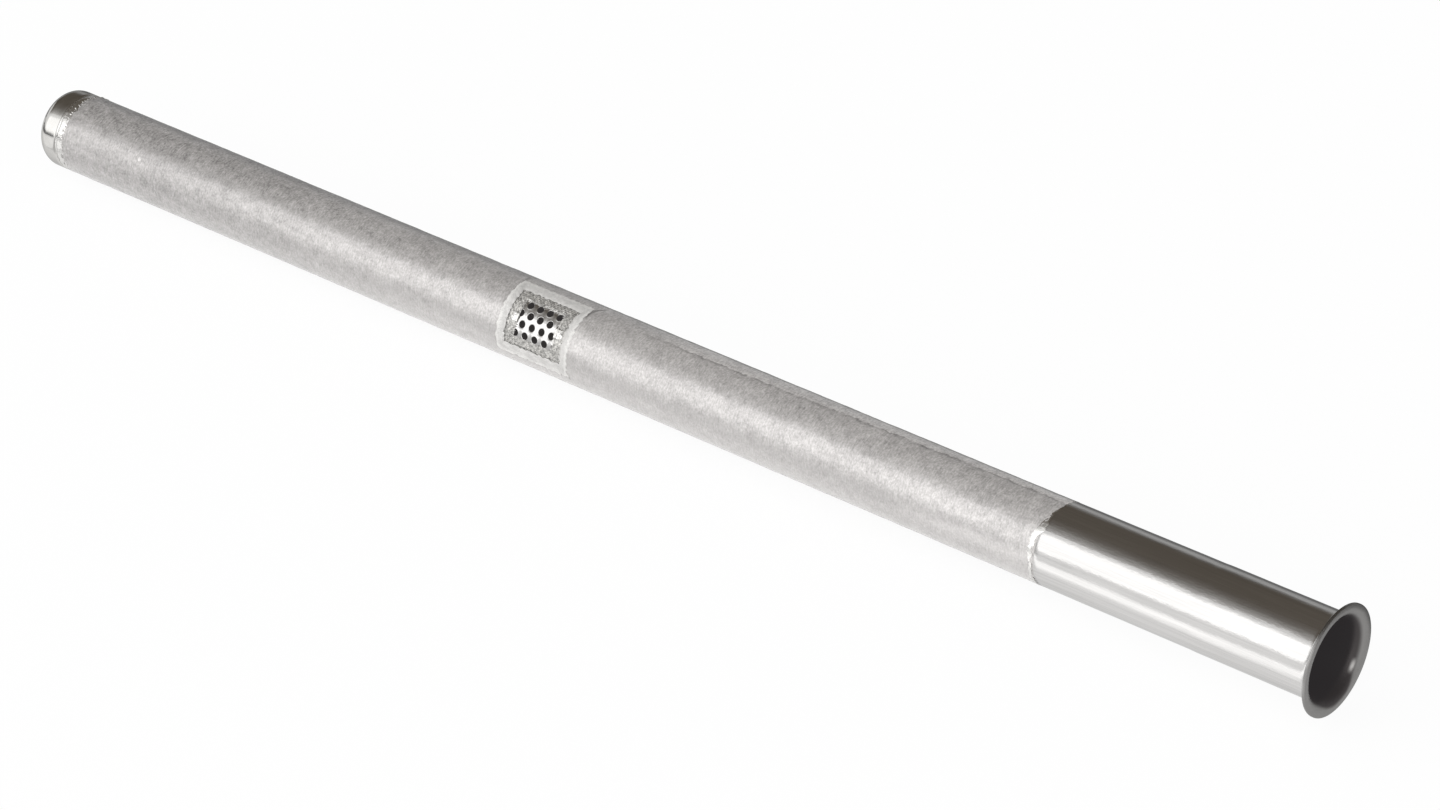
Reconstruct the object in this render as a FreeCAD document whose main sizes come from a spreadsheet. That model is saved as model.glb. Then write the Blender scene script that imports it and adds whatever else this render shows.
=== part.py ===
import FreeCAD
import Part
import Sketcher

import os

# Wire-mesh filter tube: a flanged collar, a perforated core wound in two layers of wire mesh,
# and a domed cap, bonded into one stiff tube. A window through both layers shows the core.
# The tube lies along X as it comes to rest, on its rim at +X and on its cap at -X, so that its axis
# leans by half a degree. Z = 0 is what it lies on.
#
# Every sub-part is drawn in the same tube frame and then placed. In the tube frame Z is the depth
# from the plane of the rim towards the cap, and X points out through the middle of the window.

# Driving dimensions, in millimetres and degrees: alias, value, meaning
DIMENSIONS = [
    ("overall_length", 515, "rim plane to the tip of the dome"),
    ("core_diameter", 25.4, "outside of the perforated core"),
    ("core_wall", 1.0, "sheet of the perforated core"),
    ("support_thickness", 0.4, "inner wire mesh, wound on the core"),
    ("filter_thickness", 0.4, "outer wire mesh, wound on the support mesh"),
    ("slip_gap", 0.05, "radial clearance of the core in the collar and in the cap"),
    ("collar_length", 97, "rim plane to the collar's inner end"),
    ("socket_depth", 15, "depth of the socket that takes the core"),
    ("stop_step", 0.2, "radial step that stops the core in the collar"),
    ("seat_length", 42, "rim plane to the end of the sized seat"),
    ("seat_rise", 0.1, "radial rise of the sized seat over the tube"),
    ("seat_taper", 1.5, "length of the run-out of the seat"),
    ("rim_reach", 3.9, "how far the flared rim stands out from the seat"),
    ("bend_radius", 3.0, "bend at the back of the flare"),
    ("cap_length", 11, "dome tip to the open end of the cap"),
    ("crown_radius", 30, "sphere of the cap's crown"),
    ("knuckle_radius", 5.2, "bend between the cap's crown and its wall"),
    ("core_in_cap", 3, "length of core inside the cap"),
    ("braze_width", 3.0, "ring of braze between mesh and cap"),
    ("window_depth", 291, "rim plane to the middle of the window"),
    ("window_elevation", 36.7, "direction of the window above the horizontal"),
    ("opening_length", 22.9, "window inside its frame, along the tube"),
    ("opening_angle", 83.5, "window inside its frame, round the tube"),
    ("frame_side", 2.9, "width of the frame's two sides that run round the tube"),
    ("frame_edge_angle", 16.5, "width of the frame's two sides that run along the tube"),
    ("frame_rise", 0.08, "how far the frame stands over the filter mesh"),
    ("inner_opening_length", 15.5, "opening in the support mesh, along the tube"),
    ("inner_opening_angle", 56.6, "opening in the support mesh, round the tube"),
    ("lap_angle", 18, "width of the filter mesh's lap"),
    ("lap_gap_angle", 1.5, "space between the window's frame and the lap"),
    ("lap_rise", 0.15, "how far the pressed lap stands over the mesh"),
    ("hole_diameter", 2.1, "holes in the core"),
    ("hole_pitch", 4, "spacing of the holes along the tube"),
    ("row_angle", 15, "spacing of the rows of holes round the tube"),
    ("hole_columns", 4, "holes in each row of the modelled patch"),
    ("row_pairs", 2, "pairs of staggered rows in the modelled patch"),
    ("first_hole_depth", 284.5, "rim plane to the patch's first hole"),
]

# Bends and the crown are drawn as chords, which stay within 0.1 mm of the true curve outside
BEND_CHORDS = 4
CROWN_CHORDS = 3
FLOOR_CHORDS = 2

SHEET = "sizes"

# Sizes that follow from the driving dimensions, as expressions on the sheet
CORE_R = "(sizes.core_diameter / 2)"
CORE_BORE_R = f"({CORE_R} - sizes.core_wall)"
SUPPORT_R = f"({CORE_R} + sizes.support_thickness)"
TUBE_R = f"({SUPPORT_R} + sizes.filter_thickness)"
SOCKET_R = f"({CORE_R} + sizes.slip_gap)"
COLLAR_BORE_R = f"({CORE_R} - sizes.stop_step)"
SEAT_R = f"({TUBE_R} + sizes.seat_rise)"
FLARE_SHEET = f"({SEAT_R} - {COLLAR_BORE_R})"
RIM_R = f"({SEAT_R} + sizes.rim_reach)"
SOCKET_START = "(sizes.collar_length - sizes.socket_depth)"
MESH_START = "sizes.collar_length"
CAP_START = "(sizes.overall_length - sizes.cap_length)"
MESH_END = f"({CAP_START} - sizes.braze_width)"
CORE_END = f"({CAP_START} + sizes.core_in_cap)"
CAP_WALL = f"({TUBE_R} - {SOCKET_R})"
CROWN_CENTRE = "(sizes.overall_length - sizes.crown_radius)"
KNUCKLE_REACH = f"({TUBE_R} - sizes.knuckle_radius)"
CENTRES_APART = "(sizes.crown_radius - sizes.knuckle_radius)"
KNUCKLE_CENTRE = f"({CROWN_CENTRE} + sqrt({CENTRES_APART} ^ 2 - {KNUCKLE_REACH} ^ 2))"
KNUCKLE_TURN = f"acos({KNUCKLE_REACH} / {CENTRES_APART})"
FLARE_CENTRE_R = f"({SEAT_R} + sizes.bend_radius)"
FLARE_CENTRE = f"({FLARE_SHEET} + sizes.bend_radius)"
FRAME_R = f"({TUBE_R} + sizes.frame_rise)"
LAP_R = f"({TUBE_R} + sizes.lap_rise)"
FRAME_LENGTH = "(sizes.opening_length + 2 * sizes.frame_side)"
FRAME_ANGLE = "(sizes.opening_angle + 2 * sizes.frame_edge_angle)"
LAP_TURN = f"({FRAME_ANGLE} / 2 + sizes.lap_gap_angle + sizes.lap_angle / 2)"

# How the tube lies: it touches the floor with the back of its rim and with the end of its cap's wall
LEAN = f"atan(({RIM_R} - {TUBE_R}) / ({KNUCKLE_CENTRE} - {FLARE_SHEET}))"
RIM_X = f"((sizes.overall_length * cos({LEAN}) - {RIM_R} * sin({LEAN})) / 2)"
RIM_Z = f"({RIM_R} * cos({LEAN}) + {FLARE_SHEET} * sin({LEAN}))"

# Ids that a sketch gives to its own axes, and to the ends and the centre of its lines and circles
VERTICAL_AXIS, HORIZONTAL_AXIS = range(-2, 0)
START_POINT, END_POINT, CENTRE_POINT = range(1, 4)


def arc_points(centre, radius, start, end, chords):
    """Give the corners of an arc drawn as chords, each as expressions for (radius, depth)."""
    across, along = centre
    points = []
    for step in range(chords + 1):
        angle = f"({start} + ({end} - {start}) * {step} / {chords})"
        points.append((f"({across} + {radius} * cos({angle}))", f"({along} + {radius} * sin({angle}))"))
    return points


def make_sheet(doc):
    """Put every driving dimension in one cell, with its alias and its meaning beside it."""
    sheet = doc.addObject("Spreadsheet::Sheet", SHEET)
    for row, (alias, value, meaning) in enumerate(DIMENSIONS, start=1):
        sheet.set(f"A{row}", alias)
        sheet.set(f"B{row}", str(value))
        sheet.set(f"C{row}", meaning)
        sheet.setAlias(f"B{row}", alias)
    doc.recompute()
    return sheet


class TubePart:
    """One sub-part of the tube: a body whose features take their sizes from the sheet."""

    def __init__(self, doc, label):
        self.doc = doc
        self.label = label
        self.body = doc.addObject("PartDesign::Body", label)
        self.body.Label = label

    def value(self, expression):
        """Work out an expression on the sheet, for a feature's first position."""
        return float(self.body.evalExpression(expression))

    def origin(self, role):
        """Find a plane or an axis of the body's own origin."""
        return next(item for item in self.body.Origin.OriginFeatures if item.Role == role)

    def sketch(self, name, plane="XZ_Plane", turn=None):
        """Start a sketch on an origin plane, turned about the tube's axis if turn is given."""
        sketch = self.body.newObject("Sketcher::SketchObject", f"{self.label}_{name}")
        sketch.AttachmentSupport = [(self.origin(plane), "")]
        sketch.MapMode = "FlatFace"
        if turn:
            turned = FreeCAD.Rotation(FreeCAD.Vector(0, 1, 0), 0)
            sketch.AttachmentOffset = FreeCAD.Placement(FreeCAD.Vector(0, 0, 0), turned)
            sketch.setExpression("AttachmentOffset.Rotation.Angle", turn)
        self.doc.recompute()
        return sketch

    def bind(self, sketch, constraint, name, expression):
        """Add a driving constraint and tie it to the sheet."""
        index = sketch.addConstraint(constraint)
        sketch.renameConstraint(index, name)
        sketch.setExpression(f"Constraints.{name}", expression)

    def place(self, sketch, geometry, point, name, across, along):
        """Hold one point of a sketch at a radius and a depth; None holds it on that axis."""
        if across is None:
            sketch.addConstraint(Sketcher.Constraint("PointOnObject", geometry, point, VERTICAL_AXIS))
        else:
            size = Sketcher.Constraint("DistanceX", -1, 1, geometry, point, self.value(across))
            self.bind(sketch, size, f"{name}_radius", across)
        if along is None:
            sketch.addConstraint(Sketcher.Constraint("PointOnObject", geometry, point, HORIZONTAL_AXIS))
        else:
            size = Sketcher.Constraint("DistanceY", -1, 1, geometry, point, self.value(along))
            self.bind(sketch, size, f"{name}_depth", along)

    def outline(self, name, corners, turn=None):
        """Sketch a closed outline of straight lines through corners given as (radius, depth)."""
        sketch = self.sketch(name, turn=turn)
        points = []
        for across, along in corners:
            radius = self.value(across) if across else 0.0
            depth = self.value(along) if along else 0.0
            points.append(FreeCAD.Vector(radius, depth, 0))
        count = len(points)
        for index in range(count):
            line = Part.LineSegment(points[index], points[(index + 1) % count])
            sketch.addGeometry(line, False)
        for index in range(count):
            following = (index + 1) % count
            joined = Sketcher.Constraint("Coincident", index, END_POINT, following, START_POINT)
            sketch.addConstraint(joined)
        for index, (across, along) in enumerate(corners):
            self.place(sketch, index, START_POINT, f"corner{index}", across, along)
        self.doc.recompute()
        return sketch

    def ring_outline(self, name, inner, outer, start, end, turn=None):
        """Sketch the section of a ring between two radii and two depths."""
        corners = [(inner, start), (outer, start), (outer, end), (inner, end)]
        return self.outline(name, corners, turn=turn)

    def revolve(self, sketch, name, angle=None):
        """Revolve a sketch about the tube's axis, all the way round or evenly about its plane."""
        feature = self.body.newObject("PartDesign::Revolution", f"{self.label}_{name}")
        return self.turn_feature(feature, sketch, angle)

    def groove(self, sketch, name, angle=None):
        """Cut a sketch out about the tube's axis, and make sure that something came off."""
        before = self.body.Shape.Volume
        feature = self.body.newObject("PartDesign::Groove", f"{self.label}_{name}")
        self.turn_feature(feature, sketch, angle)
        self.check_cut(feature, before)
        return feature

    def turn_feature(self, feature, sketch, angle):
        """Set up a revolution or a groove."""
        feature.Profile = sketch
        feature.ReferenceAxis = (sketch, ["V_Axis"])
        if angle:
            feature.Midplane = True
            feature.Angle = self.value(angle)
            feature.setExpression("Angle", angle)
        else:
            feature.Angle = 360
        sketch.Visibility = False
        self.body.Tip = feature
        self.doc.recompute()
        return feature

    def check_cut(self, feature, before):
        """Stop if a cutting feature took nothing away."""
        if not self.body.Shape.Volume < before - 1e-6:
            raise RuntimeError(f"{feature.Name} cuts nothing")

    def lay_down(self):
        """Lay the tube along X on its rim and its cap, with the window turned to its own direction."""
        along_x = FreeCAD.Rotation(
            FreeCAD.Vector(0, -1, 0),
            FreeCAD.Vector(0, 0, 1),
            FreeCAD.Vector(-1, 0, 0),
            "ZXY",
        )
        raised = FreeCAD.Rotation(FreeCAD.Vector(-1, 0, 0), self.value("sizes.window_elevation"))
        leaning = FreeCAD.Rotation(FreeCAD.Vector(0, -1, 0), self.value(LEAN))
        turned = leaning * raised * along_x
        self.body.Placement = FreeCAD.Placement(FreeCAD.Vector(0, 0, 0), turned)
        self.body.setExpression(".Placement.Base.x", RIM_X)
        self.body.setExpression(".Placement.Base.z", RIM_Z)
        self.doc.recompute()


def make_collar_tube(doc):
    """Flanged collar: a drawn tube with its end flared out, a sized seat and a socket."""
    collar = TubePart(doc, "collar_tube")
    centre = (FLARE_CENTRE_R, FLARE_CENTRE)
    mouth = arc_points(centre, FLARE_CENTRE, "180 deg", "270 deg", BEND_CHORDS)
    mouth[-1] = (FLARE_CENTRE_R, None)
    rim = [(RIM_R, None), (RIM_R, FLARE_SHEET)]
    back = arc_points(centre, "sizes.bend_radius", "270 deg", "180 deg", BEND_CHORDS)
    body = [
        (SEAT_R, "sizes.seat_length"),
        (TUBE_R, "(sizes.seat_length + sizes.seat_taper)"),
        (TUBE_R, "sizes.collar_length"),
        (SOCKET_R, "sizes.collar_length"),
        (SOCKET_R, SOCKET_START),
        (COLLAR_BORE_R, SOCKET_START),
    ]
    collar.revolve(collar.outline("profile", mouth + rim + back + body), "tube")
    return collar


def make_perforated_core(doc):
    """Perforated core: its staggered holes are modelled in a patch under the window."""
    core = TubePart(doc, "perforated_core")
    ring = core.ring_outline("profile", CORE_BORE_R, CORE_R, SOCKET_START, CORE_END)
    core.revolve(ring, "tube")
    lowest = "-(2 * sizes.row_pairs - 1) / 2 * sizes.row_angle"
    offset_depth = "(sizes.first_hole_depth + sizes.hole_pitch / 2)"
    cut_row_field(core, "offset_rows", lowest, offset_depth)
    cut_row_field(core, "rows", f"{lowest} + sizes.row_angle", "sizes.first_hole_depth")
    return core


def cut_row_field(core, name, first_turn, first_depth):
    """Drill one hole through the wall and repeat it along the tube and round it."""
    sketch = core.sketch(f"{name}_hole", plane="YZ_Plane", turn=first_turn)
    radius = core.value("sizes.hole_diameter / 2")
    centre = FreeCAD.Vector(0, core.value(first_depth), 0)
    sketch.addGeometry(Part.Circle(centre, FreeCAD.Vector(0, 0, 1), radius), False)
    core.place(sketch, 0, CENTRE_POINT, "hole", None, first_depth)
    size = Sketcher.Constraint("Diameter", 0, 2 * radius)
    core.bind(sketch, size, "hole_diameter", "sizes.hole_diameter")

    before = core.body.Shape.Volume
    drill = core.body.newObject("PartDesign::Pocket", f"{core.label}_{name}_drill")
    drill.Profile = sketch
    drill.Reversed = True
    drill.setExpression("Length", TUBE_R)
    sketch.Visibility = False
    core.body.Tip = drill
    core.doc.recompute()
    core.check_cut(drill, before)

    along = core.doc.addObject("PartDesign::LinearPattern", f"{core.label}_{name}_along")
    along.Direction = (core.origin("Z_Axis"), [""])
    along.Mode = "Spacing"
    along.setExpression("Offset", "sizes.hole_pitch")
    along.setExpression("Occurrences", "sizes.hole_columns")
    round_tube = core.doc.addObject("PartDesign::PolarPattern", f"{core.label}_{name}_round")
    round_tube.Axis = (core.origin("Z_Axis"), [""])
    round_tube.Mode = "Spacing"
    round_tube.setExpression("Offset", "2 * sizes.row_angle")
    round_tube.setExpression("Occurrences", "sizes.row_pairs")
    field = core.body.newObject("PartDesign::MultiTransform", f"{core.label}_{name}")
    field.Originals = [drill]
    field.Transformations = [along, round_tube]
    core.body.Tip = field
    core.doc.recompute()


def window_outline(part, name, length):
    """Sketch a cut of a given length along the tube, centred on the window."""
    start = f"(sizes.window_depth - {length} / 2)"
    end = f"(sizes.window_depth + {length} / 2)"
    return part.ring_outline(name, CORE_BORE_R, RIM_R, start, end)


def make_support_mesh(doc):
    """Support mesh: a wound sleeve on the core, open over the window's perforations."""
    mesh = TubePart(doc, "support_mesh")
    ring = mesh.ring_outline("profile", CORE_R, SUPPORT_R, MESH_START, MESH_END)
    mesh.revolve(ring, "sleeve")
    opening = window_outline(mesh, "opening_profile", "sizes.inner_opening_length")
    mesh.groove(opening, "opening", "sizes.inner_opening_angle")
    return mesh


def make_filter_mesh(doc):
    """Filter mesh: the outer sleeve with the window and the raised lap along it."""
    mesh = TubePart(doc, "filter_mesh")
    ring = mesh.ring_outline("profile", SUPPORT_R, TUBE_R, MESH_START, MESH_END)
    mesh.revolve(ring, "sleeve")
    opening = window_outline(mesh, "opening_profile", FRAME_LENGTH)
    mesh.groove(opening, "opening", FRAME_ANGLE)
    lap = mesh.ring_outline("lap_profile", SUPPORT_R, LAP_R, MESH_START, MESH_END, turn=LAP_TURN)
    mesh.revolve(lap, "lap", "sizes.lap_angle")
    return mesh


def make_window_binding(doc):
    """Window binding: the bonded frame that fills the cut edge of the filter mesh."""
    frame = TubePart(doc, "window_binding")
    start = f"(sizes.window_depth - {FRAME_LENGTH} / 2)"
    end = f"(sizes.window_depth + {FRAME_LENGTH} / 2)"
    ring = frame.ring_outline("profile", SUPPORT_R, FRAME_R, start, end)
    frame.revolve(ring, "patch", FRAME_ANGLE)
    opening = window_outline(frame, "opening_profile", "sizes.opening_length")
    frame.groove(opening, "opening", "sizes.opening_angle")
    return frame


def make_cap_braze(doc):
    """Ring of braze on the core, filling the space between the mesh and the cap."""
    braze = TubePart(doc, "cap_braze")
    ring = braze.ring_outline("profile", CORE_R, TUBE_R, MESH_END, CAP_START)
    braze.revolve(ring, "ring")
    return braze


def make_end_cap(doc):
    """Domed cap: a cup with a shallow crown, a knuckle, a straight wall and a flat floor inside."""
    cap = TubePart(doc, "end_cap")
    knuckle_centre = (KNUCKLE_REACH, KNUCKLE_CENTRE)
    crown_centre = ("0", CROWN_CENTRE)
    knuckle = arc_points(
        knuckle_centre, "sizes.knuckle_radius", "0 deg", KNUCKLE_TURN, BEND_CHORDS
    )
    crown = arc_points(crown_centre, "sizes.crown_radius", KNUCKLE_TURN, "90 deg", CROWN_CHORDS)
    tip = (None, "sizes.overall_length")
    outside = [(SOCKET_R, CAP_START), (TUBE_R, CAP_START)] + knuckle + crown[1:-1] + [tip]

    floor_round = f"(sizes.knuckle_radius - {CAP_WALL})"
    floor_depth = f"({KNUCKLE_CENTRE} + {floor_round})"
    corner = arc_points(knuckle_centre, floor_round, "90 deg", "0 deg", FLOOR_CHORDS)
    inside = [(None, floor_depth)] + corner
    cap.revolve(cap.outline("profile", outside + inside), "shell")
    return cap


def check_document(doc):
    """Stop if any object of the document is marked as failed."""
    for item in doc.Objects:
        if "Invalid" in item.State or "Error" in item.State:
            raise RuntimeError(f"{item.Name} failed: {item.State}")


def export_parts(parts):
    """Write each sub-part as a STEP file of its own, after checking its shape."""
    os.makedirs("parts", exist_ok=True)
    for part in parts:
        shape = part.body.Shape
        if shape.isNull() or not shape.isValid() or len(shape.Solids) != 1:
            raise RuntimeError(f"{part.label} has no single valid solid")
        shape.exportStep(f"parts/{part.label}.step")


def main():
    """Build the filter tube and write its sub-parts."""
    doc = FreeCAD.newDocument("filter_tube")
    make_sheet(doc)
    parts = [
        make_collar_tube(doc),
        make_perforated_core(doc),
        make_support_mesh(doc),
        make_filter_mesh(doc),
        make_window_binding(doc),
        make_cap_braze(doc),
        make_end_cap(doc),
    ]
    for part in parts:
        part.lay_down()
    doc.recompute()
    check_document(doc)
    export_parts(parts)


main()
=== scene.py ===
"""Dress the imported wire-mesh filter tube as the photograph shows it.

Every piece is made in the tube's own coordinates: depth from the plane of the rim towards the cap,
angle round the axis from the middle of the window (upwards is positive), and radius, in millimetres
and degrees. TubeLie puts them in the row's frame, in metres.
"""

import logging
import math
from dataclasses import dataclass
from enum import Enum
from typing import Mapping, Optional, Sequence, Union

import bpy
import numpy as np
from mathutils import Matrix, Vector

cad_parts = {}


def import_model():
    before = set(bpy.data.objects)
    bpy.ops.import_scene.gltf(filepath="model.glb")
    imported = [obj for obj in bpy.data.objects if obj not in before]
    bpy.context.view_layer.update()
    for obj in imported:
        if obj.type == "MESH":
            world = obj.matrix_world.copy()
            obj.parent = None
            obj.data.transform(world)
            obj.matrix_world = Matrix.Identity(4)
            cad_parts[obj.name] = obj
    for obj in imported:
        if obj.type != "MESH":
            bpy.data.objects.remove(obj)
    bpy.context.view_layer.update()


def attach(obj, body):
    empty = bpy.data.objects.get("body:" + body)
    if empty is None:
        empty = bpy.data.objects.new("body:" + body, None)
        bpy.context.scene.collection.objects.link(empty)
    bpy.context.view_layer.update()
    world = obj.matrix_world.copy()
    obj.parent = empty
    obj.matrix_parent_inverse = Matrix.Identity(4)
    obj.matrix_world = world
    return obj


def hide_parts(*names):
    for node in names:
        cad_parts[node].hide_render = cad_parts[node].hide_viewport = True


LOG = logging.getLogger("filter_tube")

MM = 0.001

Profile = list[tuple[float, float]]
Triple = tuple[float, float, float]
Colour = Triple
Stops = Sequence[tuple[float, Colour]]


class Slot(Enum):
    """Material slots of the record."""

    POLISHED_STEEL = "polished_steel"
    PERFORATED_STEEL = "perforated_steel"
    SUPPORT_WIRE = "support_wire"
    FILTER_WIRE = "filter_wire"
    BINDING = "binding"
    BRAZE = "braze"
    CAP_STEEL = "cap_steel"


@dataclass(frozen=True)
class TubeLie:
    """How the tube lies on its rim and its cap, from the same sizes as the solids.

    The sizes are in millimetres, and window_elevation is in degrees above the horizontal.
    """

    overall_length: float = 515.0
    rim_radius: float = 17.5
    rim_sheet: float = 1.1
    tube_radius: float = 13.5
    crown_radius: float = 30.0
    knuckle_radius: float = 5.2
    window_elevation: float = 36.7

    def knuckle_depth(self) -> float:
        """Give the depth at which the cap's straight wall ends.

        Returns:
            The depth in millimetres.
        """
        reach = self.tube_radius - self.knuckle_radius
        apart = self.crown_radius - self.knuckle_radius
        return self.overall_length - self.crown_radius + math.sqrt(apart**2 - reach**2)

    def lean(self) -> float:
        """Give the angle by which the axis sinks towards the cap, in radians."""
        run = self.knuckle_depth() - self.rim_sheet
        return math.atan((self.rim_radius - self.tube_radius) / run)

    def axes(self) -> np.ndarray:
        """Give the tube's own directions in the row's frame.

        Returns:
            Unit rows: out through the window, round the tube upwards, and along the depth.
        """
        lean = self.lean()
        rise = math.radians(self.window_elevation)
        down = np.array([-math.cos(lean), 0.0, -math.sin(lean)])
        upright = np.array([-math.sin(lean), 0.0, math.cos(lean)])
        level = np.array([0.0, -1.0, 0.0])
        out = math.cos(rise) * level + math.sin(rise) * upright
        along_turn = -math.sin(rise) * level + math.cos(rise) * upright
        return np.array([out, along_turn, down])

    def rim_centre(self) -> np.ndarray:
        """Give the middle of the rim's plane in the row's frame.

        Returns:
            Its place in metres.
        """
        lean = self.lean()
        across = self.overall_length * math.cos(lean) - self.rim_radius * math.sin(lean)
        height = self.rim_radius * math.cos(lean) + self.rim_sheet * math.sin(lean)
        return np.array([across / 2, 0.0, height]) * MM

    def place(self, points: np.ndarray) -> np.ndarray:
        """Move points from the tube's straight coordinates to the row's frame.

        Args:
            points: rows of (out, round, depth) in millimetres.

        Returns:
            Rows of (x, y, z) in metres.
        """
        return self.rim_centre() + (points * MM) @ self.axes()


LIE = TubeLie()


@dataclass(frozen=True)
class Layers:
    """Radii of the layers under the filter mesh, and depths where the meshes and the cap start or end."""

    core_radius: float = 12.7
    socket_radius: float = 12.75
    support_radius: float = 13.1
    mesh_start: float = 97.0
    mesh_end: float = 501.0
    cap_start: float = 504.0


LAYERS = Layers()


@dataclass(frozen=True)
class WindowPlace:
    """Where the window is and how wide each layer is open, in millimetres and degrees."""

    depth: float = 291.0
    cut_length: float = 28.7
    cut_angle: float = 116.5
    frame_length: float = 22.9
    frame_angle: float = 83.5
    inner_length: float = 15.5
    inner_angle: float = 56.6


WINDOW = WindowPlace()


@dataclass(frozen=True)
class Unevenness:
    """Smooth seeded bumps over the tube's skin, as a sum of waves that closes round the tube.

    height is the usual height in millimetres, along and around the usual lengths of a bump.
    """

    seed: int
    height: float
    along: float
    around: float
    waves: int = 28
    radius: float = LIE.tube_radius

    def at(self, depth: np.ndarray, angle: np.ndarray) -> np.ndarray:
        """Give the height of the skin at each depth and angle.

        Args:
            depth: depths in millimetres.
            angle: angles in degrees, of the same shape or one that broadcasts.

        Returns:
            Heights in millimetres.
        """
        rng = np.random.default_rng(self.seed)
        total = np.zeros(np.broadcast(depth, angle).shape)
        for _ in range(self.waves):
            pace = rng.normal() * math.pi / self.along
            turns = round(rng.normal() * math.pi / self.around * self.radius)
            start = rng.uniform(0.0, 2.0 * math.pi)
            total = total + np.cos(pace * depth + turns * np.radians(angle) + start)
        return total * self.height * math.sqrt(2.0 / self.waves)


def smooth_step(low: float, high: float, value: np.ndarray) -> np.ndarray:
    """Rise smoothly from 0 at low to 1 at high."""
    share = np.clip((np.asarray(value, float) - low) / (high - low), 0.0, 1.0)
    return share * share * (3.0 - 2.0 * share)


def ring_angles(segments: int) -> np.ndarray:
    """Give evenly spaced angles round the tube, as one row in degrees."""
    return np.arange(segments)[None, :] * 360.0 / segments


def signed_turn(angle: np.ndarray) -> np.ndarray:
    """Bring angles into the range from -180 to 180 degrees."""
    return (angle + 180.0) % 360.0 - 180.0


def opening(depth: np.ndarray, angle: np.ndarray, length: float, sweep: float) -> np.ndarray:
    """Find the cells of a grid that lie in a rectangle about the window's middle.

    Args:
        depth: depths of the grid's rows.
        angle: angles of its columns, the last of which joins the first.
        length: the rectangle's length along the tube.
        sweep: its angle round the tube.

    Returns:
        A mask of the cells, rows by columns.
    """
    middle = (depth[:-1] + depth[1:]) / 2
    across = (angle + np.append(angle[1:], 360.0 + angle[0])) / 2
    return (abs(middle - WINDOW.depth) < length / 2)[:, None] & (abs(across) < sweep / 2)[None, :]


def arc(centre: tuple[float, float], radius: float, start: float, end: float, steps: int) -> Profile:
    """Give the points of an arc in a section through the axis.

    Args:
        centre: (radius, depth) of the arc's centre.
        radius: radius of the arc.
        start: first angle in degrees, from the outward direction towards the cap.
        end: last angle in degrees.
        steps: number of chords.

    Returns:
        The points as (radius, depth).
    """
    angles = [math.radians(start + (end - start) * i / steps) for i in range(steps + 1)]
    return [(centre[0] + radius * math.cos(a), centre[1] + radius * math.sin(a)) for a in angles]


def run(start: tuple[float, float], end: tuple[float, float], pitch: float) -> Profile:
    """Divide a straight run of a section, without its two ends.

    Args:
        start: (radius, depth) where the run begins.
        end: (radius, depth) where it ends.
        pitch: longest step.

    Returns:
        The points between the ends.
    """
    length = math.dist(start, end)
    count = max(1, math.ceil(length / pitch))
    shares = [i / count for i in range(1, count)]
    return [(start[0] + (end[0] - start[0]) * s, start[1] + (end[1] - start[1]) * s) for s in shares]


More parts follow.
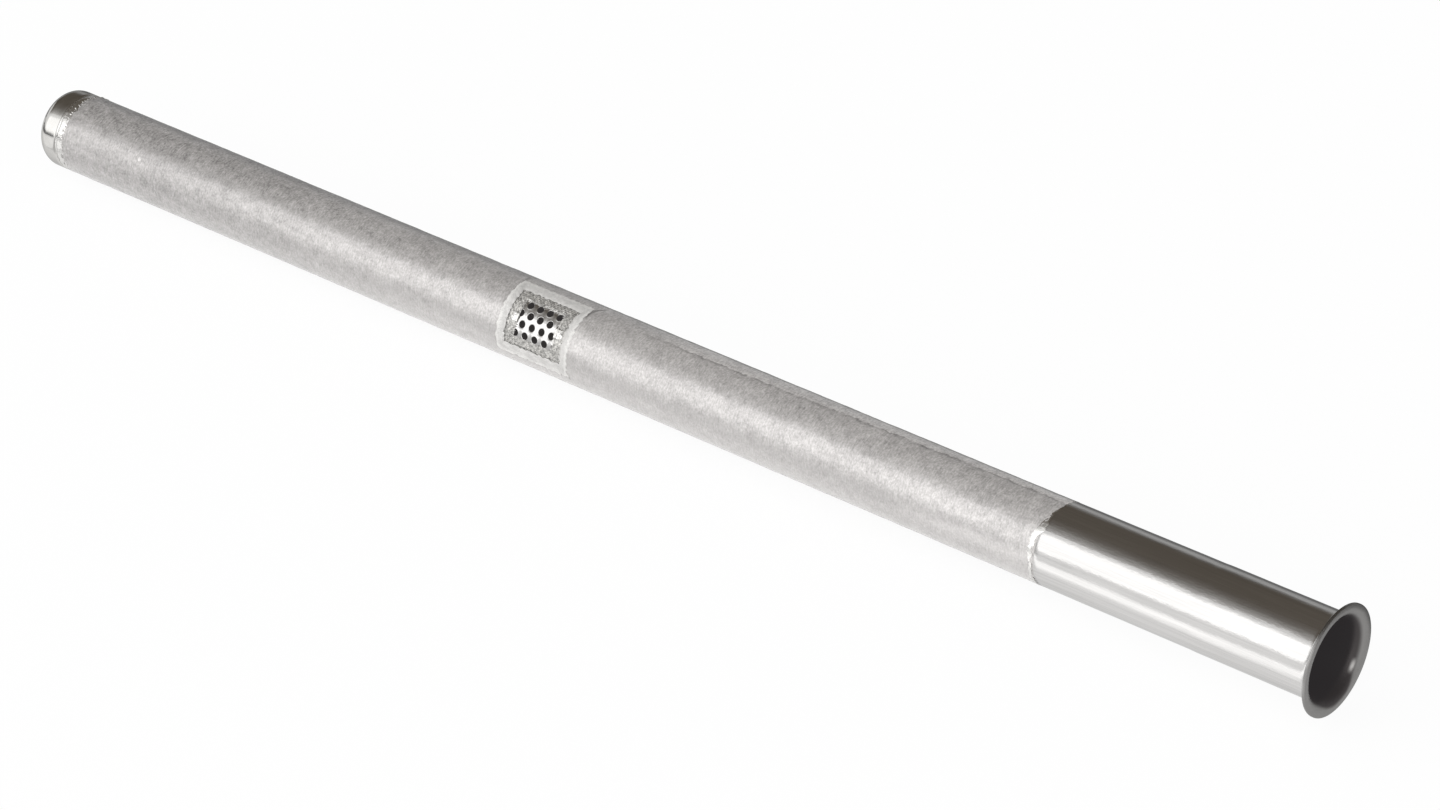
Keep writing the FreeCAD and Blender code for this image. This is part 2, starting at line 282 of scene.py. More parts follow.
class Skin:
    """Collects points and faces in the tube's coordinates and turns them into one object."""

    def __init__(self) -> None:
        """Start with no points."""
        self.points: list[np.ndarray] = []
        self.faces: list[list[int]] = []
        self.count = 0

    def add_points(self, points: np.ndarray) -> np.ndarray:
        """Add points.

        Args:
            points: rows of (out, round, depth).

        Returns:
            Their indices.
        """
        self.points.append(points)
        first = self.count
        self.count += len(points)
        return np.arange(first, self.count)

    def add_polar(self, depth: np.ndarray, angle: np.ndarray, radius: np.ndarray) -> np.ndarray:
        """Add points given by depth, angle and radius.

        Args:
            depth: depths in millimetres.
            angle: angles in degrees.
            radius: radii in millimetres.

        Returns:
            Their indices, in the shape that the three broadcast to.
        """
        depth, angle, radius = np.broadcast_arrays(depth, angle, radius)
        turn = np.radians(angle)
        points = np.stack([radius * np.cos(turn), radius * np.sin(turn), depth], -1)
        return self.add_points(points.reshape(-1, 3)).reshape(depth.shape)

    def add_cells(
        self,
        index: np.ndarray,
        keep: Optional[np.ndarray] = None,
        closed: bool = False,
        flip: bool = False,
    ) -> None:
        """Face the cells of a grid of points.

        Args:
            index: point indices, rows by columns.
            keep: which cells are faced, or None for all of them.
            closed: whether the last column joins the first.
            flip: whether the faces look the other way.
        """
        following = np.roll(index, -1, axis=1) if closed else index[:, 1:]
        here = index if closed else index[:, :-1]
        quads = np.stack([here[:-1], here[1:], following[1:], following[:-1]], -1)
        if keep is not None:
            quads = quads[keep]
        quads = quads.reshape(-1, 4)
        if flip:
            quads = quads[:, ::-1]
        self.faces.extend(quads.tolist())

    def add_open_sleeve(self, outer: np.ndarray, inner: np.ndarray, cut: np.ndarray) -> None:
        """Face a sleeve with closed ends and a rectangular opening through both of its skins.

        Args:
            outer: point indices of the outer skin, rows by columns.
            inner: point indices of the inner skin, of the same shape.
            cut: which cells are open.
        """
        self.add_cells(outer, ~cut, closed=True)
        self.add_cells(inner, ~cut, closed=True, flip=True)
        for row, flip in ((0, False), (-1, True)):
            self.add_cells(np.stack([inner[row], outer[row]]), closed=True, flip=flip)
        rows, columns = np.nonzero(cut)
        first, last = rows.min(), rows.max() + 1
        left, right = columns.min(), columns.max() + 1
        across, along = slice(left, right + 1), slice(first, last + 1)
        self.add_cells(np.stack([inner[first, across], outer[first, across]]), flip=True)
        self.add_cells(np.stack([inner[last, across], outer[last, across]]))
        self.add_cells(np.stack([inner[along, left], outer[along, left]]))
        self.add_cells(np.stack([inner[along, right], outer[along, right]]), flip=True)

    def add_wire(self, path: np.ndarray, radius: float, sides: int = 5) -> None:
        """Add a round wire with closed ends along a path.

        Args:
            path: rows of (out, round, depth).
            radius: half of the wire's diameter.
            sides: number of the wire's flats.
        """
        ahead = np.gradient(path, axis=0)
        ahead /= np.linalg.norm(ahead, axis=1)[:, None]
        outward = path * np.array([1.0, 1.0, 0.0])
        outward -= (outward * ahead).sum(1)[:, None] * ahead
        outward /= np.linalg.norm(outward, axis=1)[:, None]
        aside = np.cross(ahead, outward)
        turns = np.arange(sides) * 2.0 * math.pi / sides
        ring = np.cos(turns)[None, :, None] * outward[:, None] + np.sin(turns)[None, :, None] * aside[:, None]
        index = self.add_points((path[:, None] + radius * ring).reshape(-1, 3)).reshape(len(path), sides)
        self.add_cells(index, closed=True, flip=True)
        self.faces.append(index[0].tolist())
        self.faces.append(index[-1][::-1].tolist())

    def lathe(self, profile: Profile, segments: int, uneven: Unevenness) -> None:
        """Turn a closed section round the axis.

        Args:
            profile: closed section as (radius, depth), with no point twice.
            segments: number of steps round the axis.
            uneven: bumps added to the radius, which fade out towards the axis.
        """
        section = np.array(profile + profile[:1])
        angle = ring_angles(segments)
        radius, depth = section[:, :1], section[:, 1:]
        fading_radius = 8.0
        radius = radius + uneven.at(depth, angle) * np.minimum(1.0, radius / fading_radius)
        index = self.add_polar(depth, angle, radius)
        self.add_cells(index, closed=True)

    def add_bead(self, depth: float, angle: float, radius: float, size: float, height: float) -> None:
        """Add a low bead that stands on the skin, with a floor just under it.

        Args:
            depth: depth of its middle.
            angle: angle of its middle.
            radius: radius of the skin that it stands on.
            size: half of its width.
            height: how far it stands out.
        """
        flats, sink, root = 10, 0.02, 0.1
        turns = np.arange(flats)[None, :] * 2.0 * math.pi / flats
        shares = np.array([1.0, 0.92, 0.7, 0.4, 0.0])[:, None]
        lifts = height * np.sqrt(np.maximum(1.0 - shares**2, 0.0)) - sink
        across = np.degrees(size * shares * np.sin(turns) / radius)
        dome = self.add_polar(depth + size * shares * np.cos(turns), angle + across, radius + lifts)
        foot = self.add_polar(depth + size * shares[:1] * np.cos(turns), angle + across[:1], radius - root)
        self.add_cells(np.concatenate([foot, dome]), closed=True, flip=True)
        self.faces.append(foot[0][::-1].tolist())

    def make(self, name: str, sharp: float = 35.0) -> bpy.types.Object:
        """Join equal points, place everything in the row's frame and make the object.

        Args:
            name: name of the object.
            sharp: angle in degrees above which an edge stays sharp.

        Returns:
            The new object, linked to the scene.
        """
        points = np.concatenate(self.points)
        rounded = np.round(points, 4)
        _, first, back = np.unique(rounded, axis=0, return_index=True, return_inverse=True)
        back = back.reshape(-1)
        faces = []
        for face in self.faces:
            corners = [int(back[i]) for i in face]
            corners = [c for i, c in enumerate(corners) if c != corners[i - 1]]
            if len(corners) > 2 and len(set(corners)) == len(corners):
                faces.append(corners)
        mesh = bpy.data.meshes.new(name)
        mesh.from_pydata(LIE.place(points[first]).tolist(), [], faces)
        mesh.validate()
        mesh.shade_smooth()
        mesh.set_sharp_from_angle(angle=math.radians(sharp))
        mesh.update()
        made = bpy.data.objects.new(name, mesh)
        bpy.context.scene.collection.objects.link(made)
        return made


Operand = Union[float, "Value"]


class Value:
    """A socket of a shader graph, on which Python's arithmetic adds Math nodes."""

    def __init__(self, bench: "Bench", socket: bpy.types.NodeSocket) -> None:
        """Wrap a socket of a bench's node tree."""
        self.bench = bench
        self.socket = socket

    def math(self, operation: str, *others: Operand) -> "Value":
        """Add a Math node with this value as its first input."""
        sockets = dict(enumerate((self,) + others))
        return self.bench.node("ShaderNodeMath", {"operation": operation}, sockets)

    def __add__(self, other: Operand) -> "Value":
        """Add."""
        return self.math("ADD", other)

    __radd__ = __add__

    def __mul__(self, other: Operand) -> "Value":
        """Multiply."""
        return self.math("MULTIPLY", other)

    __rmul__ = __mul__

    def __sub__(self, other: Operand) -> "Value":
        """Subtract."""
        return self.math("SUBTRACT", other)

    def __rsub__(self, other: Operand) -> "Value":
        """Subtract this value from a number."""
        return (self * -1.0) + other

    def sine(self) -> "Value":
        """Take the sine of this value in radians."""
        return self.math("SINE")

    def size(self) -> "Value":
        """Take the value without its sign."""
        return self.math("ABSOLUTE")

    def between(self, low: float, high: float) -> "Value":
        """Rise smoothly from 0 at low to 1 at high, or fall where low is the larger."""
        settings = {"interpolation_type": "SMOOTHSTEP", "clamp": True}
        return self.bench.node("ShaderNodeMapRange", settings, {0: self, 1: low, 2: high, 3: 0.0, 4: 1.0})

    def or_else(self, other: Operand) -> "Value":
        """Take the larger of two values."""
        return self.math("MAXIMUM", other)


Sockets = Mapping[Union[int, str], object]


class Bench:
    """One material's node tree, with the tube's coordinates at hand."""

    def __init__(self, name: str, tree: Optional[bpy.types.NodeTree] = None) -> None:
        """Empty a node tree, of a new material where none is given.

        Args:
            name: name of the material.
            tree: the tree of something else, such as the world.
        """
        self.material = None
        if tree is None:
            self.material = bpy.data.materials.new(name)
            self.material.use_nodes = True
            tree = self.material.node_tree
        self.tree = tree
        self.tree.nodes.clear()
        self.spot: Optional[Value] = None
        self.spot_parts: list[Value] = []

    def node(
        self,
        kind: str,
        settings: Mapping[str, object],
        sockets: Sockets,
        output: Union[int, str] = 0,
    ) -> Value:
        """Add a node.

        Args:
            kind: the node's type.
            settings: its settings; the key stops holds a ramp's (position, colour) pairs.
            sockets: values or links of its inputs, by index or name.
            output: index or name of the output that is given back.

        Returns:
            The chosen output.
        """
        made = self.tree.nodes.new(kind)
        for key, setting in settings.items():
            if key == "stops":
                self.set_stops(made.color_ramp, setting)
            else:
                setattr(made, key, setting)
        for key, value in sockets.items():
            if isinstance(value, Value):
                self.tree.links.new(value.socket, made.inputs[key])
            else:
                made.inputs[key].default_value = value
        return Value(self, made.outputs[output])

    def close(self, shader: Value, kind: str = "ShaderNodeOutputMaterial") -> Optional[bpy.types.Material]:
        """Link the last shader to the output.

        Args:
            shader: the shader.
            kind: the output's type.

        Returns:
            The material, if there is one.
        """
        output = self.tree.nodes.new(kind)
        self.tree.links.new(shader.socket, output.inputs["Surface"])
        return self.material

    def set_stops(self, ramp: bpy.types.ColorRamp, stops: Stops) -> None:
        """Give a new ramp its stops.

        Args:
            ramp: the ramp, with its first two stops at 0 and 1.
            stops: pairs of position and colour, in rising order from 0 to 1.
        """
        for position, _ in stops[1:-1]:
            ramp.elements.new(position)
        for element, (_, colour) in zip(ramp.elements, stops):
            element.color = (*colour, 1.0)

    def vector(self, operation: str, first: object, second: object) -> Value:
        """Add a Vector Math node."""
        output = "Value" if operation == "DOT_PRODUCT" else "Vector"
        return self.node("ShaderNodeVectorMath", {"operation": operation}, {0: first, 1: second}, output)

    def place(self) -> Value:
        """Give the point in the tube's straight coordinates, with nodes that are made once.

        Returns:
            The vector (out, round, depth) in millimetres.
        """
        if self.spot is None:
            world = self.node("ShaderNodeTexCoord", {}, {}, "Object")
            offset = self.vector("SUBTRACT", world, tuple(LIE.rim_centre()))
            self.spot_parts = [self.vector("DOT_PRODUCT", offset, tuple(axis / MM)) for axis in LIE.axes()]
            self.spot = self.node("ShaderNodeCombineXYZ", {}, dict(enumerate(self.spot_parts)))
        return self.spot

    def depth(self) -> Value:
        """Give the depth from the rim's plane, in millimetres."""
        self.place()
        return self.spot_parts[2]

    def angle(self) -> Value:
        """Give the angle from the middle of the window, in degrees."""
        self.place()
        return self.spot_parts[1].math("ARCTAN2", self.spot_parts[0]) * (180.0 / math.pi)

    def radius(self) -> Value:
        """Give the distance from the axis, in millimetres."""
        flat = self.vector("MULTIPLY", self.place(), (1.0, 1.0, 0.0))
        return self.node("ShaderNodeVectorMath", {"operation": "LENGTH"}, {0: flat}, "Value")

    def seen_directly(self) -> Value:
        """Tell the rays that see a surface as it is shown from those that only carry light.

        Returns:
            1 for camera, glossy and transmission rays, and 0 for the others.
        """
        names = ("Is Camera Ray", "Is Glossy Ray", "Is Transmission Ray")
        camera, glossy, through = (self.node("ShaderNodeLightPath", {}, {}, name) for name in names)
        return camera.or_else(glossy).or_else(through)

    def noise(self, size: Triple, detail: float, roughness: float, shift: float = 0.0) -> Value:
        """Add a noise over the tube's straight coordinates.

        Args:
            size: length of a blot along each of the three directions, in millimetres.
            detail: number of finer layers.
            roughness: strength of the finer layers.
            shift: moves the pattern, so that two noises of one size differ.

        Returns:
            A value about 0.5.
        """
        scaled = self.vector("MULTIPLY", self.place(), tuple(1.0 / s for s in size))
        moved = self.vector("ADD", scaled, (shift, shift * 0.7, shift * 1.3))
        sockets = {"Vector": moved, "Scale": 1.0, "Detail": detail, "Roughness": roughness}
        return self.node("ShaderNodeTexNoise", {}, sockets)

    def mix(self, factor: Operand, first: object, second: object) -> Value:
        """Mix two colours.

        Args:
            factor: share of the second colour.
            first: a Value or a Colour.
            second: a Value or a Colour.

        Returns:
            The mixed colour.
        """
        ends = [c if isinstance(c, Value) else (*c, 1.0) for c in (first, second)]
        sockets = {0: factor, 6: ends[0], 7: ends[1]}
        return self.node("ShaderNodeMix", {"data_type": "RGBA"}, sockets, 2)

    def tint(self, colour: Colour, level: Value) -> Value:
        """Scale a colour's brightness.

        Args:
            colour: the colour.
            level: the factor.

        Returns:
            The scaled colour.
        """
        shade = self.node("ShaderNodeCombineXYZ", {}, {0: level, 1: level, 2: level})
        sockets = {0: 1.0, 6: (*colour, 1.0), 7: shade}
        return self.node("ShaderNodeMix", {"data_type": "RGBA", "blend_type": "MULTIPLY"}, sockets, 2)

    def bump(self, height: Value, rise: float, under: Optional[Value] = None) -> Value:
        """Turn a height into a normal.

        Args:
            height: the height, where 1 stands for rise.
            rise: what a height of 1 is, in millimetres.
            under: a normal that this one is added to.

        Returns:
            The normal.
        """
        sockets: dict[Union[int, str], object] = {"Strength": 1.0, "Distance": rise * MM, "Height": height}
        if under:
            sockets["Normal"] = under
        return self.node("ShaderNodeBump", {}, sockets)

    def finish(self, sockets: Sockets) -> bpy.types.Material:
        """Close the tree with a Principled shader and give the material."""
        return self.close(self.node("ShaderNodeBsdfPrincipled", {}, sockets))


@dataclass(frozen=True)
class PolishedSteel:
    """Polished drawn tube: bright outside, with painted shade making the mouth grey and the bore nearly
    black.

    bend_centre is the (radius, depth) of the middle of the flare's bend. A painted glint lies in the mouth at
    painted_glint_radius, on the side away from the window, and shaded_turns are the angles between which the
    painted shade of the bore reaches out towards the rim.
    """

    colour: Colour = (0.66, 0.65, 0.64)
    mouth_painted_shade: Colour = (0.25, 0.245, 0.24)
    bore_painted_shade: Colour = (0.045, 0.041, 0.04)
    painted_glint_colour: Colour = (0.43, 0.42, 0.41)
    painted_inner_glow: Colour = (0.022, 0.02, 0.021)
    roughness: float = 0.13
    bend_centre: tuple[float, float] = (16.6, 4.1)
    painted_glint_radius: float = 13.45
    shaded_turns: tuple[float, float] = (-180.0, -85.0)
    shaded_reach: float = 1.7

    def material(self) -> bpy.types.Material:
        """Build the material.

        Returns:
            The new material.
        """
        bench = Bench("polished_steel")
        depth, radius, angle = bench.depth(), bench.radius(), bench.angle()
        scratches = bench.noise((0.25, 0.25, 14.0), 3.0, 0.6)
        streaks = bench.noise((0.8, 0.8, 45.0), 3.0, 0.6, 11.0)
        dulled = bench.noise((6.0, 6.0, 22.0), 3.0, 0.55, 4.0)
        pits = bench.noise((0.8, 0.8, 1.6), 3.0, 0.6, 6.0)
        across = self.bend_centre[0] - radius
        before = (self.bend_centre[1] - depth).or_else(0.0)
        inner = (across * across + before * before).math("SQRT").between(3.4, 3.8)
        # painted shade: the mouth and the bore take dark colours, and the dark reaches nearer the rim between
        # shaded_turns
        first, last = self.shaded_turns
        shaded_side = angle.between(first, first + 32.0) * angle.between(last, last - 45.0)
        bore_shade = (radius - self.shaded_reach * shaded_side).between(14.5, 13.2)
        # painted glint: a small bright spot in the mouth, on the side away from the window
        painted_glint = angle.size().between(167.5, 179.5) * (radius - self.painted_glint_radius).size().between(0.6, 0.06)
        level = 0.74 + 0.14 * scratches * dulled + 0.38 * streaks
        # painted shade: a darker band on the back of the flange, where it bends into the seat
        level = level * (1.0 - 0.5 * depth.between(3.4, 1.9) * radius.between(14.3, 15.4))
        bright = bench.tint(self.colour, level)
        mouth_and_bore_shade = bench.mix(bore_shade, self.mouth_painted_shade, self.bore_painted_shade)
        mouth_and_bore_shade = bench.mix(painted_glint, mouth_and_bore_shade, self.painted_glint_colour)
        colour = bench.mix(inner, bright, mouth_and_bore_shade)
        roughness = self.roughness * (0.55 + 0.9 * dulled) + 0.28 * inner * (1.0 - painted_glint)
        normal = bench.bump(scratches, 0.0035)
        normal = bench.bump(pits, 0.027, normal)
        waves = bench.noise((7.0, 7.0, 16.0), 2.0, 0.5, 9.0)
        normal = bench.bump(waves, 0.10, normal)
        return bench.finish(
            {
                "Base Color": colour,
                "Metallic": 1.0,
                "Roughness": roughness,
                "Specular Tint": (0.75, 0.75, 0.75, 1.0),
                "Normal": normal,
                # painted glow: a faint emission in the mouth and the bore
                "Emission Color": bench.mix(inner * bore_shade, (0.0, 0.0, 0.0), self.painted_inner_glow),
                "Emission Strength": 1.0,
            }
        )


@dataclass(frozen=True)
class CapSteel:
    """Satin drawn cap, with faint rings from the lathe and a few rubbed places."""

    colour: Colour = (0.62, 0.61, 0.59)
    roughness: float = 0.16

    def material(self) -> bpy.types.Material:
        """Build the material.

        Returns:
            The new material.
        """
        bench = Bench("cap_steel")
        rubbed = bench.noise((3.0, 3.0, 3.0), 4.0, 0.6)
        rings = bench.noise((9.0, 9.0, 0.35), 2.0, 0.5, 3.0)
        colour = bench.tint(self.colour, 0.86 + 0.28 * rubbed)
        normal = bench.bump(rings + 0.6 * rubbed, 0.012)
        return bench.finish(
            {
                "Base Color": colour,
                "Metallic": 1.0,
                "Roughness": self.roughness * (0.6 + 0.8 * rubbed),
                "Specular Tint": (0.6, 0.6, 0.6, 1.0),
                "Normal": normal,
            }
        )


@dataclass(frozen=True)
class RolledSteel:
    """Bright rolled and perforated sheet, with painted shade and a faint painted glow inside the tube and the
    holes.
    """

    colour: Colour = (0.66, 0.65, 0.64)
    inner_painted_shade: Colour = (0.08, 0.075, 0.073)
    painted_inner_glow: Colour = (0.03, 0.028, 0.028)

    def material(self) -> bpy.types.Material:
        """Build the material.

        Returns:
            The new material.
        """
        bench = Bench("perforated_steel")
        rolled = bench.noise((0.5, 0.5, 10.0), 3.0, 0.55)
        # painted shade and glow: inside the core and down the hole walls the sheet is painted dark and given
        # a faint painted glow
        inside = bench.radius().between(12.68, 12.6)
        colour = bench.mix(inside, bench.tint(self.colour, 0.85 + 0.3 * rolled), self.inner_painted_shade)
        return bench.finish(
            {
                "Base Color": colour,
                "Metallic": 1.0,
                "Roughness": 0.08 + 0.08 * rolled + 0.35 * inside,
                "Normal": bench.bump(rolled, 0.004),
                "Emission Color": bench.mix(inside, (0.0, 0.0, 0.0), self.painted_inner_glow),
                "Emission Strength": 1.0,
            }
        )


@dataclass(frozen=True)
class FilterWire:
    """Fine wire cloth: tight wires that run round the tube, matt and mottled, with a pressed lap.
    Its colour also carries painted shade and painted light, set by depth and angle.

    The bright speck and the dark blob in the lap are given by depth, and the speck by angle too.
    """

    colour: Colour = (0.51, 0.494, 0.484)
    wire_pitch: float = 0.36
    lap_angle: float = 60.5
    lap_top: float = 78.0
    blob_depth: float = 241.0
    speck_depth: float = 465.5
    speck_angle: float = -2.4

    def material(self) -> bpy.types.Material:
        """Build the material.

        Returns:
            The new material.
        """
        bench = Bench("filter_wire")
        depth, angle = bench.depth(), bench.angle()
        drift = bench.noise((6.0, 6.0, 6.0), 2.0, 0.5, 2.0)
        rings = (depth * (2.0 * math.pi / self.wire_pitch) + 9.0 * drift).sine()
        speckle = bench.noise((0.8, 0.8, 0.6), 3.0, 0.65, 5.0)
        threads = bench.noise((2.6, 2.6, 0.5), 2.0, 0.5, 12.0)
        mottle = bench.noise((2.8, 2.8, 3.4), 3.0, 0.6, 7.0)
        clouds = bench.noise((11.0, 11.0, 19.0), 2.0, 0.5, 1.0)
        texture = 1.05 * speckle + 0.50 * threads + 0.55 * mottle + 0.20 * clouds + 0.015 * rings
        farther = depth.between(300.0, 480.0)
        upper = angle.between(14.0, 30.0)
        # painted light: lower marks the underside of the cloth, which is made lighter as if lit from the
        # floor
        lower = angle.between(-54.0, -78.0) * angle.between(-150.0, -120.0)
        calm = angle.between(-14.0, -32.0) * (1.0 - farther)
        # painted light and shade: the level is darkened towards the cap (farther) and lightened along the
        # underside (lower); the mottle is made stronger on the upper side and towards the cap and weaker low
        # down nearer the collar, following how the light falls
        level = 1.0 + (texture - 1.15) * (1.0 + 0.15 * farther - 0.35 * calm + upper * (0.2 + 0.45 * farther))
        level = level * (1.0 - 0.17 * farther) * (1.0 + 0.2 * lower) * self.lap(bench) * self.crease_shadows(bench)
        colour = bench.tint(self.colour, level * self.bright_speck(bench))
        normal = bench.bump(0.4 * rings + 1.4 * speckle + 0.7 * threads, 0.031)
        normal = bench.bump(mottle, 0.075, normal)
        return bench.finish(
            {
                "Base Color": colour,
                "Metallic": 0.4,
                "Roughness": 0.19 + 0.07 * mottle,
                "Specular Tint": (0.9, 0.9, 0.9, 1.0),
                "Sheen Weight": 0.12,
                "Sheen Roughness": 0.4,
                "Normal": normal,
            }
        )

    def lap(self, bench: Bench) -> Value:
        """Give the brightness of the lap: a lighter strip over a ragged painted shadow line, up to the
        window, and painted shade along the top side.

        Args:
            bench: the material's bench.

        Returns:
            A factor of about 1.
        """
        depth, angle = bench.depth(), bench.angle()
        wander = bench.noise((3.0, 3.0, 2.2), 3.0, 0.6, 14.0) - 0.5
        patchy = bench.noise((4.0, 4.0, 3.0), 2.0, 0.5, 17.0).between(0.38, 0.56)
        edge = self.lap_angle - 9.0 * depth.between(105.0, 232.0) + 10.0 * wander
        above = angle - edge
        faded = depth.between(262.0, 236.0)
        under, over = self.lap_top - 1.5, self.lap_top + 1.5
        strip = above.between(-0.5, 1.5) * angle.between(over, under) * faded
        # painted shadow: a ragged dark line under the lap's edge
        shade = above.between(-5.5, -0.8) * above.between(1.4, -0.4) * faded * (0.35 + 0.9 * patchy)
        # painted shade: the top of the cloth above the lap, and its upper side past the window, is darkened
        top_shade_past_window = 0.8 * angle.between(58.0, 72.0) * depth.between(262.0, 330.0)
        painted_top_shade = (angle.between(under, over) + top_shade_past_window).math("MINIMUM", 1.0)
        painted_top_shade = painted_top_shade * angle.between(93.0, 84.0)
        blob = (depth - self.blob_depth).size().between(1.8, 0.8)
        blob = blob * angle.between(76.0, 79.0) * angle.between(92.0, 88.0)
        return 1.0 + 0.20 * strip - 0.26 * shade - 0.36 * painted_top_shade - 0.35 * blob

    def bright_speck(self, bench: Bench) -> Value:
        """Give the brightness of the one bright speck near the cap, with a darker patch beside it.

        Args:
            bench: the material's bench.

        Returns:
            A factor of about 1.
        """
        along = bench.depth() - self.speck_depth
        across = (bench.angle() - self.speck_angle) * math.radians(LIE.tube_radius)
        speck = (along * along + across * across).between(0.85, 0.1)
        beside = along - 1.5
        dark = (beside * beside + across * across).between(0.7, 0.1)
        return 1.0 + 0.45 * speck - 0.14 * dark

    def crease_shadows(self, bench: Bench) -> Value:
        """Give the painted shadow lines of the creases that run out of three of the window's corners.

        Args:
            bench: the material's bench.

        Returns:
            A factor of 1 or less.
        """
        depth, angle = bench.depth(), bench.angle()
        bow = (angle - 42.0).or_else(0.0)
        near = (depth - 276.2 + 0.004 * bow * bow).size().between(0.75, 0.25)
        near = near * angle.between(32.0, 40.0) * angle.between(69.0, 64.0)
        far = (depth - 305.4 - 0.05 * (angle - 58.0)).size().between(0.7, 0.25)
        far = far * angle.between(56.0, 59.0) * angle.between(74.0, 70.0)
        low = (depth - 276.0).size().between(0.6, 0.2)
        low = low * angle.between(-64.0, -60.0) * angle.between(-54.0, -57.0)
        # painted shadows: each crease darkens the cloth along a thin line
        return 1.0 - 0.5 * near - 0.35 * far - 0.35 * low


@dataclass(frozen=True)
class SupportWire:
    """Coarse wire of the inner cloth: drawn and slightly tarnished.

    Cut and pressed wire gets a lighter, smoother copy; its lighter colour is partly painted highlight.
    """

    colour: Colour = (0.58, 0.57, 0.55)
    metallic: float = 0.7
    roughness: float = 0.30

    def material(self) -> bpy.types.Material:
        """Build the material.

        Returns:
            The new material.
        """
        bench = Bench("support_wire")
        tarnish = bench.noise((1.0, 1.0, 1.0), 3.0, 0.65, 3.0)
        colour = bench.tint(self.colour, 2.6 * tarnish - 0.33)
        return bench.finish(
            {
                "Base Color": colour,
                "Metallic": self.metallic,
                "Roughness": self.roughness + 0.25 * tarnish,
                "Normal": bench.bump(tarnish, 0.03),
            }
        )


@dataclass(frozen=True)
class FusedBinding:
    """Pale bonded metal that has run into the wire round the window."""

    colour: Colour = (0.585, 0.575, 0.56)

    def material(self) -> bpy.types.Material:
        """Build the material.

        Returns:
            The new material.
        """
        bench = Bench("binding")
        grain = bench.noise((0.6, 0.6, 0.6), 3.0, 0.65, 6.0)
        pools = bench.noise((2.2, 2.2, 2.2), 3.0, 0.6, 2.0)
        ridge = bench.radius().between(13.53, 13.57)
        colour = bench.tint(self.colour, 0.42 + 0.45 * grain + 0.55 * pools + 0.17 * ridge)
        normal = bench.bump(grain, 0.06)
        normal = bench.bump(pools, 0.16, normal)
        return bench.finish(
            {
                "Base Color": colour,
                "Metallic": 0.2,
                "Roughness": 0.40 + 0.25 * grain,
                "Normal": normal,
            }
        )


@dataclass(frozen=True)
class BrightBraze:
    """Bright braze, run smooth, with small blisters."""

    colour: Colour = (0.77, 0.76, 0.74)

    def material(self) -> bpy.types.Material:
        """Build the material.

        Returns:
            The new material.
        """
        bench = Bench("braze")
        blisters = bench.noise((0.7, 0.7, 0.7), 3.0, 0.6, 8.0)
        colour = bench.tint(self.colour, 0.75 + 0.5 * blisters)
        return bench.finish(
            {
                "Base Color": colour,
                "Metallic": 1.0,
                "Roughness": 0.10 + 0.22 * blisters,
                "Specular Tint": (0.75, 0.75, 0.75, 1.0),
                "Normal": bench.bump(blisters, 0.035),
            }
        )


def fit_out(made: bpy.types.Object, material: bpy.types.Material, slot: Slot, *nodes: str) -> None:
    """Give a piece its material and body, and hide the nodes that it stands for.

    Args:
        made: the new piece.
        material: its finish.
        slot: the record's slot that the finish belongs to; not used.
        nodes: CAD nodes that it replaces.
    """
    made.data.materials.append(material)
    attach(made, "root")
    if nodes:
        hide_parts(*nodes)
    triangles = sum(len(p.vertices) - 2 for p in made.data.polygons)
    LOG.info("%s: %d triangles", made.name, triangles)


@dataclass(frozen=True)
class CollarTube:
    """Flanged collar: drawn tube with its end flared out over a bend, a sized seat and a socket."""

    length: float = LAYERS.mesh_start
    bore_radius: float = 12.5
    seat_radius: float = 13.6
    seat_length: float = 42.0
    taper_length: float = 4.0
    tube_radius: float = LIE.tube_radius
    socket_radius: float = LAYERS.socket_radius
    socket_depth: float = 15.0
    rim_radius: float = LIE.rim_radius
    sheet: float = LIE.rim_sheet
    bend_radius: float = 3.0
    edge_round: float = 0.32
    end_round: float = 0.2
    grid_pitch: float = 1.6
    segments: int = 224

    def section(self) -> Profile:
        """Give the collar's section.

        Returns:
            Points (radius, depth) from the mouth over the rim to the socket and back along the bore.
        """
        centre = (self.seat_radius + self.bend_radius, self.sheet + self.bend_radius)
        mouth = arc(centre, self.sheet + self.bend_radius, 180.0, 270.0, 22)
        edge = self.edge_round
        front = arc((self.rim_radius - edge, edge), edge, 270.0, 360.0, 6)
        rear = arc((self.rim_radius - edge, self.sheet - edge), edge, 0.0, 90.0, 6)
        back = arc(centre, self.bend_radius, 270.0, 180.0, 20)
        seat_end = (self.seat_radius, self.seat_length - 1.0)
        seat = run(back[-1], seat_end, self.grid_pitch) + [seat_end]
        steps = np.linspace(0.4, self.taper_length, 10)
        falls = (self.seat_radius - self.tube_radius) * smooth_step(0.0, self.taper_length, steps)
        taper = [(self.seat_radius - fall, seat_end[1] + step) for fall, step in zip(falls, steps)]
        inner_end = (self.tube_radius, self.length - self.end_round)
        tube = run(taper[-1], inner_end, self.grid_pitch)
        tube += [inner_end, (self.tube_radius - self.end_round, self.length)]
        socket_start = self.length - self.socket_depth
        socket = [
            (self.socket_radius, self.length),
            (self.socket_radius, socket_start),
            (self.bore_radius, socket_start),
        ]
        bore = run(socket[-1], mouth[0], 6.0)
        return mouth + front + rear + back + seat + taper + tube + socket + bore

    def build(self) -> None:
        """Make the collar."""
        skin = Skin()
        skin.lathe(self.section(), self.segments, Unevenness(11, 0.010, 14.0, 12.0))
        made = skin.make("collar_tube_polished", sharp=50.0)
        fit_out(made, PolishedSteel().material(), Slot.POLISHED_STEEL, "collar_tube")


